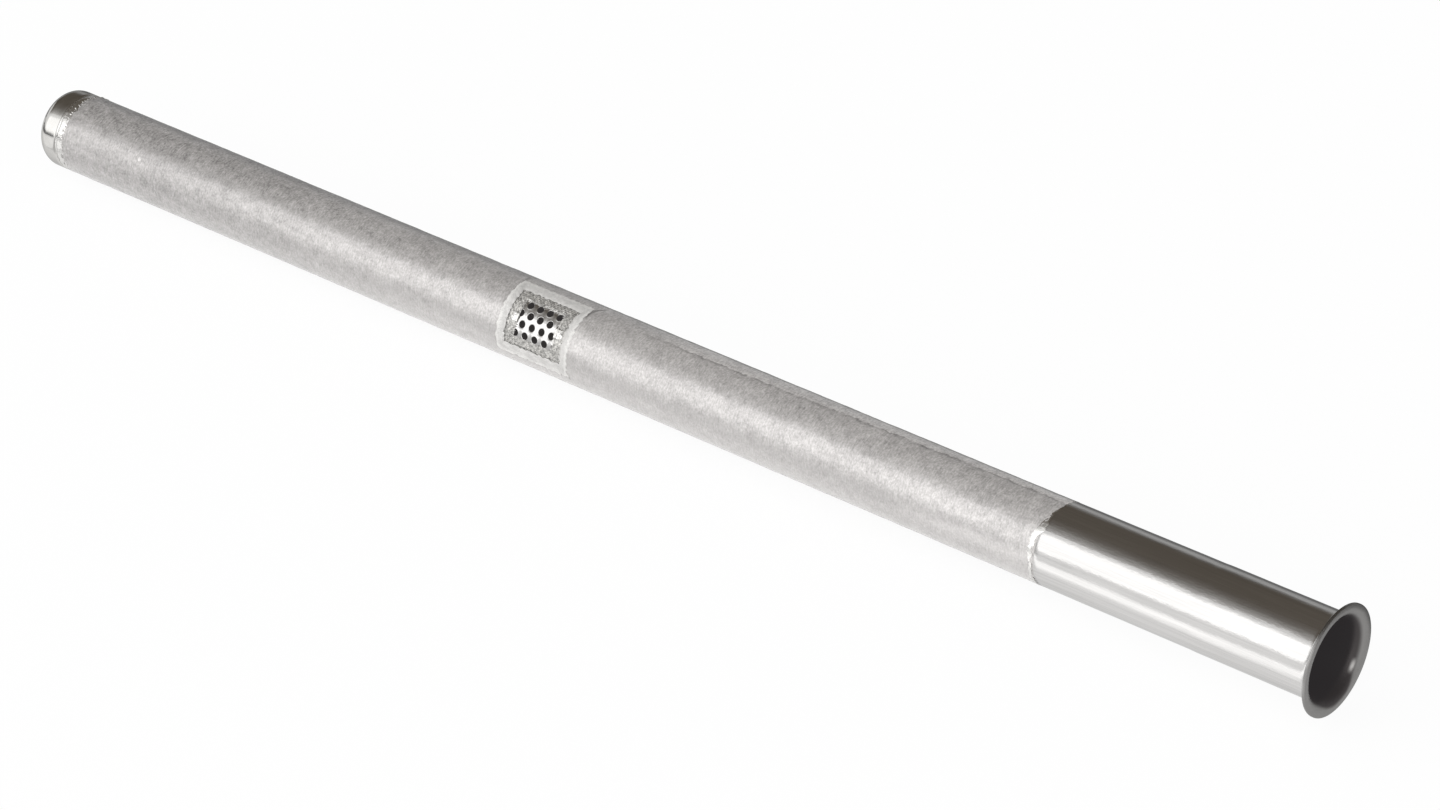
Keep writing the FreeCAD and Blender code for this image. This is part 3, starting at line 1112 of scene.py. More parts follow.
@dataclass(frozen=True)
class EndCap:
    """Domed cap: a drawn cup with a shallow crown and a bend down to its straight wall."""

    overall_length: float = LIE.overall_length
    start: float = LAYERS.cap_start
    tube_radius: float = LIE.tube_radius
    inner_radius: float = LAYERS.socket_radius
    crown_radius: float = LIE.crown_radius
    knuckle_radius: float = LIE.knuckle_radius
    edge_round: float = 0.3
    segments: int = 192

    def section(self) -> Profile:
        """Give the cap's section.

        Returns:
            Points (radius, depth) from the open edge over the dome to the floor inside.
        """
        reach = self.tube_radius - self.knuckle_radius
        apart = self.crown_radius - self.knuckle_radius
        centre_depth = self.overall_length - self.crown_radius
        knuckle = (reach, centre_depth + math.sqrt(apart**2 - reach**2))
        turn = math.degrees(math.acos(reach / apart))
        wall = [
            (self.inner_radius, self.start),
            (self.tube_radius - 0.28, self.start),
            (self.tube_radius, self.start + self.edge_round),
        ]
        wall += run(wall[-1], (self.tube_radius, knuckle[1]), 0.8)
        bend = arc(knuckle, self.knuckle_radius, 0.0, turn, 18)
        crown = arc((0.0, centre_depth), self.crown_radius, turn, 90.0, 16)[1:]
        sheet = self.tube_radius - self.inner_radius
        corner = arc(knuckle, self.knuckle_radius - sheet, 90.0, 0.0, 8)
        return wall + bend + crown + [(0.0, corner[0][1])] + corner

    def build(self) -> None:
        """Make the cap."""
        skin = Skin()
        skin.lathe(self.section(), self.segments, Unevenness(23, 0.006, 5.0, 6.0))
        made = skin.make("end_cap_satin", sharp=50.0)
        fit_out(made, CapSteel().material(), Slot.CAP_STEEL, "end_cap")


@dataclass(frozen=True)
class PerforatedCore:
    """Perforated core: staggered rows of round holes over the whole length under the mesh."""

    outer_radius: float = LAYERS.core_radius
    wall: float = 1.0
    start: float = 82.0
    end: float = 507.0
    hole_radius: float = 1.22
    burr_height: float = 0.032
    burr_foot: float = 0.32
    burr_width: float = 0.12
    burr_fall: float = 0.06
    pitch: float = 4.0
    row_angle: float = 15.0
    first_row_angle: float = -22.5
    first_row_depth: float = 286.5
    first_column: int = -46
    columns: int = 100
    plain_fineness: int = 1
    seen_fineness: int = 3
    seen_length: float = 28.0
    seen_angle: float = 100.0

    def cell(self, fine: int) -> tuple[np.ndarray, list[list[int]]]:
        """Make one hole with the sheet round it.

        Args:
            fine: number of the hole's flats on each eighth of its round.

        Returns:
            Rows of (depth, angle, radius) about the hole's centre, and the faces.
        """
        half, turn = self.pitch / 2, self.row_angle / 2
        corners = [(1, 0), (1, 1), (0, 1), (-1, 1), (-1, 0), (-1, -1), (0, -1), (1, -1)]
        border = [(half * x, turn * y) for x, y in corners]
        inner = self.outer_radius - self.wall
        rings = [(self.hole_radius, self.outer_radius)]
        if fine > 1:
            burr = self.outer_radius + self.burr_height
            rings = [
                (self.hole_radius + self.burr_foot, self.outer_radius),
                (self.hole_radius + self.burr_width, burr),
                (self.hole_radius, burr - self.burr_fall),
            ]
        rings.append((self.hole_radius, inner))
        flats = 8 * fine
        points = [(x, y, self.outer_radius) for x, y in border]
        for size, radius in rings:
            for step in range(flats):
                a = 2.0 * math.pi * step / flats
                sweep = math.degrees(size * math.sin(a) / self.outer_radius)
                points.append((size * math.cos(a), sweep, radius))
        points += [(x, y, inner) for x, y in border]
        faces = []
        last_ring = 8 + flats * (len(rings) - 1)
        inner_border = last_ring + flats
        for side in range(8):
            following = (side + 1) % 8
            hole = [(side * fine + step) % flats for step in range(fine + 1)]
            for base, edge, turned in ((8, 0, False), (last_ring, inner_border, True)):
                middle = len(hole) // 2
                fans = []
                for step in range(fine):
                    corner = side if step < middle else following
                    fans.append([edge + corner, base + hole[step + 1], base + hole[step]])
                fans.append([edge + side, edge + following, base + hole[middle]])
                faces += [fan[::-1] if turned else fan for fan in fans]
        for ring in range(len(rings) - 1):
            base = 8 + ring * flats
            for step in range(flats):
                ahead = (step + 1) % flats
                faces.append([base + step, base + ahead, base + flats + ahead, base + flats + step])
        return np.array(points), faces

    def build(self) -> None:
        """Make the core."""
        skin = Skin()
        rows = round(360.0 / self.row_angle)
        plain_cell, seen_cell = self.cell(self.plain_fineness), self.cell(self.seen_fineness)
        for row in range(rows):
            angle = self.first_row_angle + row * self.row_angle
            for column in range(self.first_column, self.first_column + self.columns):
                offset = 0.0 if row % 2 == 0 else -self.pitch / 2
                depth = self.first_row_depth + offset + column * self.pitch
                seen = abs(depth - WINDOW.depth) < self.seen_length / 2 and abs(angle) < self.seen_angle / 2
                points, faces = seen_cell if seen else plain_cell
                index = skin.add_polar(depth + points[:, 0], angle + points[:, 1], points[:, 2])
                skin.faces.extend([[int(index[i]) for i in face] for face in faces])
            self.add_plain_ends(skin, row, angle)
        made = skin.make("perforated_core_sheet", sharp=35.0)
        fit_out(made, RolledSteel().material(), Slot.PERFORATED_STEEL, "perforated_core")

    def add_plain_ends(self, skin: Skin, row: int, angle: float) -> None:
        """Add the plain sheet beyond the last holes of a row, inside and outside, and its end faces.

        Args:
            skin: where the faces go.
            row: number of the row.
            angle: the row's angle.
        """
        half, turn = self.pitch / 2, self.row_angle / 2
        inner = self.outer_radius - self.wall
        even_first = self.first_row_depth + self.first_column * self.pitch - half
        first = even_first if row % 2 == 0 else even_first - half
        other_first = even_first - half if row % 2 == 0 else even_first
        length = self.columns * self.pitch
        for edge, near, other in (
            (self.start, first, other_first),
            (self.end, first + length, other_first + length),
        ):
            steps = [edge, near] if (other - edge) ** 2 >= (near - edge) ** 2 else [edge, other, near]
            if edge == self.end:
                steps = steps[::-1]
            depth = np.array(steps)[:, None]
            span = angle + np.array([[-turn, 0.0, turn]])
            outer_index = skin.add_polar(depth, span, self.outer_radius)
            inner_index = skin.add_polar(depth, span, inner)
            skin.add_cells(outer_index)
            skin.add_cells(inner_index, flip=True)
            end_row = 0 if edge == self.start else -1
            lip = np.stack([inner_index[end_row], outer_index[end_row]])
            skin.add_cells(lip, flip=edge == self.end)


@dataclass(frozen=True)
class SupportMesh:
    """Support mesh: coarse woven wire on the core, cut open over the perforations."""

    inner_radius: float = LAYERS.core_radius
    outer_radius: float = LAYERS.support_radius
    start: float = LAYERS.mesh_start
    end: float = LAYERS.mesh_end
    wire_radius: float = 0.12
    fray_radius: float = 0.075
    pitch: float = 0.72
    points_per_pitch: float = 4.5
    crimp: float = 0.9
    long_frays: int = 2
    top_frays: int = 26
    side_frays: int = 28
    seed: int = 5

    def build_sleeve(self) -> None:
        """Make the layer under the wires, which shows only between them."""
        skin = Skin()
        half = WINDOW.inner_length / 2
        depth = np.concatenate(
            [
                np.linspace(self.start, WINDOW.depth - half, 40),
                np.linspace(WINDOW.depth - half, WINDOW.depth + half, 12)[1:],
                np.linspace(WINDOW.depth + half, self.end, 44)[1:],
            ]
        )[:, None]
        side = WINDOW.inner_angle / 2
        back = np.linspace(side, 360.0 - side, 77)[1:-1]
        angle = np.concatenate([np.linspace(-side, side, 15), back])[None, :]
        outer = skin.add_polar(depth, angle, self.outer_radius - 2.2 * self.wire_radius)
        inner = skin.add_polar(depth, angle, self.inner_radius + 0.02)
        cut = opening(depth[:, 0], angle[0], WINDOW.inner_length, WINDOW.inner_angle)
        skin.add_open_sleeve(outer, inner, cut)
        made = skin.make("support_mesh_layer")
        fit_out(made, SupportWire().material(), Slot.SUPPORT_WIRE, "support_mesh")

    def build_cloth(self) -> None:
        """Make the woven wires that the window shows, with the cut ends left ragged."""
        rng = np.random.default_rng(self.seed)
        skin = Skin()
        reach_depth = WINDOW.frame_length / 2 + 1.2
        reach_angle = WINDOW.frame_angle / 2 + 4.0
        middle = self.outer_radius - 2.0 * self.wire_radius
        per_mm = math.degrees(1.0 / middle)
        turn_pitch = self.pitch * per_mm
        for number, offset in enumerate(np.arange(-reach_depth, reach_depth, self.pitch)):
            open_here = abs(offset) < WINDOW.inner_length / 2 + 0.1
            for low, high in self.spans(rng, open_here, reach_angle, WINDOW.inner_angle / 2, per_mm):
                angle = np.arange(low, high, turn_pitch / self.points_per_pitch)
                wave = np.cos(math.pi * (angle / turn_pitch + number))
                depth = WINDOW.depth + offset + 0.05 * np.sin(angle * 0.9 + number)
                self.add_thread(skin, depth, angle, middle + self.wire_radius * self.crimp * wave)
        for number, turn in enumerate(np.arange(-reach_angle, reach_angle, turn_pitch)):
            open_here = abs(turn) < WINDOW.inner_angle / 2 + 0.1 * per_mm
            for low, high in self.spans(rng, open_here, reach_depth, WINDOW.inner_length / 2, 1.0):
                along = np.arange(low, high, self.pitch / self.points_per_pitch)
                wave = -np.cos(math.pi * (along / self.pitch + number))
                angle = turn + 0.25 * np.sin(along * 1.7 + number)
                radius = middle + self.wire_radius * self.crimp * wave
                self.add_thread(skin, WINDOW.depth + along, angle, radius)
        made = skin.make("support_mesh_wires", sharp=80.0)
        fit_out(made, SupportWire().material(), Slot.SUPPORT_WIRE)

    def spans(
        self, rng: np.random.Generator, open_here: bool, reach: float, cut: float, per_mm: float
    ) -> list[tuple[float, float]]:
        """Give the stretches of one wire, with ragged ends at the opening.

        Args:
            rng: source of the raggedness.
            open_here: whether the wire meets the opening.
            reach: half of the wire's whole length, in its own measure.
            cut: half of the opening along the wire, in the same measure.
            per_mm: what a millimetre is in that measure.

        Returns:
            Pairs of start and end.
        """
        if not open_here:
            return [(-reach, reach)]
        low, high = rng.uniform(-0.35, 0.5, 2) * per_mm
        return [(-reach, -cut + low), (cut - high, reach)]

    def build_frays(self) -> None:
        """Make the loose bright wires that curl along the upper edge and the sides of the opening."""
        rng = np.random.default_rng(self.seed + 1)
        skin = Skin()
        half, side = WINDOW.inner_length / 2, WINDOW.inner_angle / 2
        for number in range(self.long_frays):
            depth = np.arange(-half - 0.5, half + 1.0, 0.25)
            sway = rng.uniform(0.0, 6.0)
            angle = side - 0.5 + 1.1 * number + 0.9 * np.sin(depth * 0.8 + sway)
            angle = angle + 0.5 * np.sin(depth * 2.9 + sway)
            radius = self.outer_radius + 0.02 + 0.08 * np.sin(depth * 1.7 + sway)
            self.add_thread(skin, WINDOW.depth + depth, angle, radius, self.fray_radius)
        for number in range(self.top_frays + self.side_frays):
            share = np.linspace(0.0, 1.0, 9)
            if number < self.top_frays:
                start, length, slope = rng.uniform(-half, half), rng.uniform(0.8, 2.4), rng.uniform(-2.5, 2.5)
                depth = start + length * share
                angle = side + rng.uniform(-1.5, 2.5) + slope * share
                angle = angle + 2.0 * rng.normal() * share * (1.0 - share)
            else:
                flank = -1.0 if number % 2 else 1.0
                depth = flank * (half + rng.uniform(-0.5, 2.6) + rng.uniform(-0.6, 0.6) * share)
                angle = rng.uniform(-10.0, 2.0) + rng.uniform(4.0, 12.0) * share
            radius = self.outer_radius - 0.02 + 0.2 * share * (1.0 - share) * rng.uniform(0.0, 1.6)
            self.add_thread(skin, WINDOW.depth + depth, angle, radius, self.fray_radius)
        made = skin.make("support_mesh_frays", sharp=80.0)
        # lighter, smoother copy of the wire's finish; the lighter colour is partly painted highlight
        fit_out(made, SupportWire((0.74, 0.73, 0.71), 0.6, 0.2).material(), Slot.SUPPORT_WIRE)

    def build_pressed_edges(self) -> None:
        """Make the two places beside the opening where the wire is pressed flat and bright."""
        skin = Skin()
        half = WINDOW.inner_length / 2
        for flank in (-1.0, 1.0):
            share = np.linspace(0.0, 1.0, 15)[:, None]
            turn = np.linspace(-1.0, 1.0, 25)[None, :]
            ragged = Unevenness(81 + int(flank), 0.35, 2.0, 2.2, 24)
            length = 2.9 + ragged.at(0.0, 4.4 * turn * 4.0)
            depth = WINDOW.depth + flank * (half - 0.15 + length * share)
            width = 7.4 + 1.8 * ragged.at(6.0 * share, 50.0)
            angle = -0.6 + width * turn
            lift = 0.05 - 0.16 * smooth_step(0.75, 1.0, abs(turn)) - 0.16 * smooth_step(0.8, 1.0, share)
            top = self.outer_radius + lift + Unevenness(84, 0.03, 1.3, 1.3, 30).at(depth, angle)
            index = skin.add_polar(depth, angle, top)
            base = skin.add_polar(depth, angle, self.outer_radius - 0.22)
            skin.add_cells(index, flip=flank < 0)
            skin.add_cells(base, flip=flank > 0)
            rim = np.concatenate([index[0], index[1:, -1], index[-1, -2::-1], index[-2:0:-1, 0]])
            foot = np.concatenate([base[0], base[1:, -1], base[-1, -2::-1], base[-2:0:-1, 0]])
            skin.add_cells(np.stack([rim, foot]), closed=True, flip=flank > 0)
        made = skin.make("support_mesh_pressed_edges", sharp=80.0)
        # lighter, smoother copy of the wire's finish; the lighter colour is partly painted highlight
        fit_out(made, SupportWire((0.72, 0.71, 0.69), 0.95, 0.12).material(), Slot.SUPPORT_WIRE)

    def add_thread(
        self,
        skin: Skin,
        depth: np.ndarray,
        angle: np.ndarray,
        radius: np.ndarray,
        thickness: Optional[float] = None,
    ) -> None:
        """Add one wire, unless it is too short to show.

        Args:
            skin: where it goes.
            depth: depths of its points.
            angle: their angles.
            radius: their distances from the axis.
            thickness: half of the wire's diameter, or None for that of the cloth.
        """
        if len(angle) < 4:
            return
        turn = np.radians(angle)
        path = np.stack([radius * np.cos(turn), radius * np.sin(turn), depth], 1)
        skin.add_wire(path, thickness or self.wire_radius)


@dataclass(frozen=True)
class FilterMesh:
    """Filter mesh: the fine outer cloth with its pressed lap, its ragged ends and its cut window."""

    inner_radius: float = LAYERS.support_radius
    outer_radius: float = LIE.tube_radius
    start: float = LAYERS.mesh_start
    end: float = LAYERS.mesh_end
    lap_low: float = 59.75
    lap_high: float = 77.75
    lap_rise: float = 0.15
    row_pitch: float = 1.15

    def lap_edge(self, depth: np.ndarray) -> np.ndarray:
        """Give the angle of the lap's lower edge, which wanders down from the collar."""
        return self.lap_low + 1.5 - 9.0 * smooth_step(105.0, 232.0, depth)

    def lap_height(self, depth: np.ndarray, angle: np.ndarray) -> np.ndarray:
        """Give how far the lap stands over the cloth.

        Args:
            depth: depths in millimetres.
            angle: angles in degrees.

        Returns:
            Heights in millimetres.
        """
        edge = self.lap_edge(depth) + Unevenness(41, 0.7, 7.0, 9.0).at(depth, 0.0)
        band = smooth_step(-0.9, 0.9, angle - edge)
        band = band * smooth_step(self.lap_high + 1.5, self.lap_high - 1.5, angle)
        faded = 0.25 + 0.75 * smooth_step(258.0, 232.0, depth)
        return self.lap_rise * band * faded

    def rows(self) -> np.ndarray:
        """Give the depths of the grid's rows, with rows on the window's two cuts.

        Returns:
            Rising depths in millimetres.
        """
        half = WINDOW.cut_length / 2
        stops = [self.start, WINDOW.depth - half, WINDOW.depth + half, self.end]
        parts = [
            np.linspace(low, high, round((high - low) / self.row_pitch) + 1)[:-1]
            for low, high in zip(stops[:-1], stops[1:])
        ]
        return np.concatenate(parts + [np.array([self.end])])

    def columns(self) -> np.ndarray:
        """Give the angles of the grid's columns, close together at the lap.

        Returns:
            Rising angles in degrees, once round the tube from the window's lower side.
        """
        side = WINDOW.cut_angle / 2
        return np.concatenate(
            [
                np.linspace(-side, 45.0, 26),
                np.linspace(45.0, side, 10)[1:],
                np.linspace(side, 81.0, 20)[1:],
                np.linspace(81.0, 360.0 - side, 48)[1:-1],
            ]
        )

    def build(self) -> None:
        """Make the sleeve."""
        skin = Skin()
        depth, angle = self.rows()[:, None], self.columns()[None, :]
        bumps = Unevenness(31, 0.018, 5.0, 5.0, 40).at(depth, angle)
        bumps = bumps + Unevenness(32, 0.012, 2.6, 2.8, 40).at(depth, angle)
        top = self.outer_radius + np.clip(bumps, -0.06, 0.05) + self.lap_height(depth, angle)
        ragged = Unevenness(33, 0.35, 9.0, 1.6, 30)
        shift = np.zeros(np.broadcast(depth, angle).shape)
        shift[0] = self.collar_edge(self.columns()) - self.start + ragged.at(0.0, angle)[0] * 0.6
        top[0] = self.outer_radius + 0.05
        outer = skin.add_polar(depth + shift, angle, top)
        inner = skin.add_polar(depth, angle, self.inner_radius)
        cut = opening(depth[:, 0], angle[0], WINDOW.cut_length, WINDOW.cut_angle)
        skin.add_open_sleeve(outer, inner, cut)
        made = skin.make("filter_mesh_cloth", sharp=60.0)
        fit_out(made, FilterWire().material(), Slot.FILTER_WIRE, "filter_mesh")

    def collar_edge(self, angle: np.ndarray) -> np.ndarray:
        """Give the depth at which the cloth ends on the collar, which varies round the tube.

        Args:
            angle: angles in degrees.

        Returns:
            Depths in millimetres.
        """
        known = [-180.0, -60.0, -20.0, 5.0, 24.0, 48.0, 66.0, 100.0, 180.0]
        depths = [97.0, 97.9, 98.2, 97.9, 96.8, 96.4, 95.7, 96.4, 97.0]
        return np.interp(signed_turn(angle), known, depths)


@dataclass(frozen=True)
class WindowBinding:
    """Window binding: the pale frame of bonded metal that has run into the cut cloth."""

    base_radius: float = LAYERS.support_radius
    cloth_radius: float = LIE.tube_radius
    overlap_length: float = 0.5
    overlap_angle: float = 1.6
    steps: int = 90
    rise: float = 0.08
    seed: int = 71

    def loop(self, length: float, sweep: float) -> np.ndarray:
        """Give points round a rectangle on the tube.

        Args:
            length: its length along the tube.
            sweep: its angle round the tube.

        Returns:
            Rows of (depth, angle).
        """
        half, side = length / 2, sweep / 2
        corners = [(-half, -side), (half, -side), (half, side), (-half, side)]
        points = []
        for number, start in enumerate(corners):
            end = corners[(number + 1) % 4]
            for step in range(self.steps):
                share = step / self.steps
                points.append([start[i] + (end[i] - start[i]) * share for i in range(2)])
        return np.array(points) + np.array([WINDOW.depth, 0.0])

    def build(self) -> None:
        """Make the frame."""
        inner = self.loop(WINDOW.frame_length, WINDOW.frame_angle)
        outer = self.loop(WINDOW.cut_length + self.overlap_length, WINDOW.cut_angle + self.overlap_angle)
        rng = np.random.default_rng(self.seed)
        count = len(inner)
        shares = [0.0, 0.0, 0.09, 0.20, 0.31, 0.42, 0.58, 0.74, 0.88, 0.96, 1.0, 1.0]
        rises = [None, -0.36, -0.23, -0.11, -0.02, 0.03, 0.03, 0.07, 0.08, 0.02, -0.02, None]
        skin = Skin()
        grid = []
        wobble = [self.ripple(rng, count, 9) * 0.05 for _ in range(2)]
        for share, lift in zip(shares, rises):
            depth = inner[:, 0] + (outer[:, 0] - inner[:, 0]) * share
            angle = inner[:, 1] + (outer[:, 1] - inner[:, 1]) * share
            edge = wobble[0] if share < 0.5 else wobble[1]
            pull = edge * (1.0 - 2.0 * min(share, 1.0 - share))
            depth = depth + (outer[:, 0] - inner[:, 0]) * pull
            angle = angle + (outer[:, 1] - inner[:, 1]) * pull
            if lift is None:
                radius = np.full(count, self.base_radius)
            else:
                radius = self.cloth_radius + lift + 0.02 * self.ripple(rng, count, 40)
                radius = np.minimum(radius, self.cloth_radius + self.rise + 0.03)
            grid.append(skin.add_polar(depth, angle, radius))
        index = np.stack(grid + [grid[0]])
        skin.add_cells(index, closed=True)
        made = skin.make("window_binding_frame", sharp=50.0)
        fit_out(made, FusedBinding().material(), Slot.BINDING, "window_binding")

    def ripple(self, rng: np.random.Generator, count: int, waves: int) -> np.ndarray:
        """Give a closed ripple of about unit height along a loop of points.

        Args:
            rng: source of the waves.
            count: number of points.
            waves: number of waves that are summed.

        Returns:
            A height for each point.
        """
        place = np.arange(count) / count * 2.0 * math.pi
        numbers = rng.integers(2, 6 * waves, waves)
        starts = rng.uniform(0.0, 2.0 * math.pi, waves)
        return sum(np.cos(n * place + s) for n, s in zip(numbers, starts)) * math.sqrt(2.0 / waves)


@dataclass(frozen=True)
class CapBraze:
    """Ring of braze between the cloth and the cap, with a ragged edge that laps onto the cloth."""

    inner_radius: float = LAYERS.core_radius
    outer_radius: float = LIE.tube_radius
    start: float = LAYERS.mesh_end
    end: float = LAYERS.cap_start
    segments: int = 360

    def build(self) -> None:
        """Make the ring."""
        skin = Skin()
        angle = ring_angles(self.segments)
        ragged = Unevenness(51, 0.30, 9.0, 1.2, 36).at(0.0, angle)
        ragged = ragged + Unevenness(52, 0.25, 9.0, 4.0, 20).at(0.0, angle)
        first = np.clip(self.start - 0.35 + ragged, self.start - 1.3, self.start + 0.4)
        shares = np.array([0.0, 0.0, 0.08, 0.2, 0.35, 0.5, 0.62, 0.70, 0.76, 0.84, 1.0, 1.0])[:, None]
        section = [-0.35, 0.03, 0.055, 0.04, 0.01, 0.0, 0.0, -0.04, -0.22, -0.28, -0.28, -0.35]
        lifts = np.array(section)[:, None]
        depth = first + (self.end - first) * shares
        beaded = 1.0 - 0.8 * smooth_step(0.15, 0.4, shares)
        bumps = Unevenness(53, 0.03, 1.2, 1.2, 40).at(depth, angle) * (lifts > -0.05) * beaded
        radius = np.minimum(self.outer_radius + lifts + bumps, self.outer_radius + 0.055)
        outer = skin.add_polar(depth, angle, radius)
        base = skin.add_polar(np.array([[self.start], [self.end]]), angle, self.inner_radius)
        skin.add_cells(np.concatenate([base[:1], outer, base[1:], base[:1]]), closed=True)
        self.add_beads(skin)
        made = skin.make("cap_braze_ring", sharp=60.0)
        fit_out(made, BrightBraze().material(), Slot.BRAZE, "cap_braze")

    def add_beads(self, skin: Skin) -> None:
        """Add the small beads of braze that stand along the end of the cloth.

        Args:
            skin: where they go.
        """
        rng = np.random.default_rng(54)
        for turn in np.arange(0.0, 360.0, 4.0):
            spot = turn + rng.uniform(-1.6, 1.6)
            size = rng.uniform(0.26, 0.55)
            height = 0.65 * size if turn < 130.0 or turn > 320.0 else 0.07
            skin.add_bead(self.start - 0.15 + rng.uniform(-0.35, 0.35), spot, self.outer_radius, size, height)


@dataclass(frozen=True)
class CollarFillet:
    """Thin fillet of braze where the cloth ends on the collar: wide blobs low on the front, else a line."""

    radius: float = LIE.tube_radius
    segments: int = 360

    def build(self) -> None:
        """Make the fillet."""
        skin = Skin()
        angle = ring_angles(self.segments)
        turn = signed_turn(angle)
        blobs = smooth_step(30.0, 16.0, turn) * smooth_step(-34.0, -20.0, turn)
        cloth = FilterMesh().collar_edge(angle)
        fine = Unevenness(61, 0.16, 9.0, 1.6, 30).at(0.0, angle)
        coarse = Unevenness(63, 0.55, 9.0, 3.2, 24).at(0.0, angle)
        first = cloth - 0.35 + fine - blobs * np.clip(0.5 + coarse, 0.0, 1.3)
        last = cloth + 0.55 + fine + 0.7 * blobs
        shares = np.array([0.0, 0.1, 0.3, 0.5, 0.7, 0.9, 1.0])[:, None]
        swell = np.sin(math.pi * shares) ** 0.6
        bumps = Unevenness(62, 0.014, 1.4, 1.4, 30).at(first + 2.0 * shares, angle)
        outer = skin.add_polar(
            first + (last - first) * shares,
            angle,
            self.radius + 0.005 + (0.022 + 0.025 * blobs + np.clip(bumps, -0.015, 0.02)) * swell,
        )
        inner = skin.add_polar(first + (last - first) * shares, angle, self.radius - 0.12)
        skin.add_cells(np.concatenate([outer, inner[::-1], outer[:1]]), closed=True)
        made = skin.make("collar_fillet", sharp=60.0)
        fit_out(made, BrightBraze().material(), Slot.BRAZE)


def grey(level: float) -> Colour:
    """Give a neutral colour."""
    return (level, level, level)


def grey_stops(levels: Profile) -> list[tuple[float, Colour]]:
    """Give a card's neutral stops from pairs of place and level."""
    return [(place, grey(level)) for place, level in levels]


@dataclass(frozen=True)
class Card:
    """A photographer's card: a long strip with a given section, which only reflections show.

    stops are the glows at places across the tube (y in metres), in rising order of the place.
    """

    name: str
    section: Sequence[tuple[float, float]]
    ends: tuple[float, float]
    stops: Stops


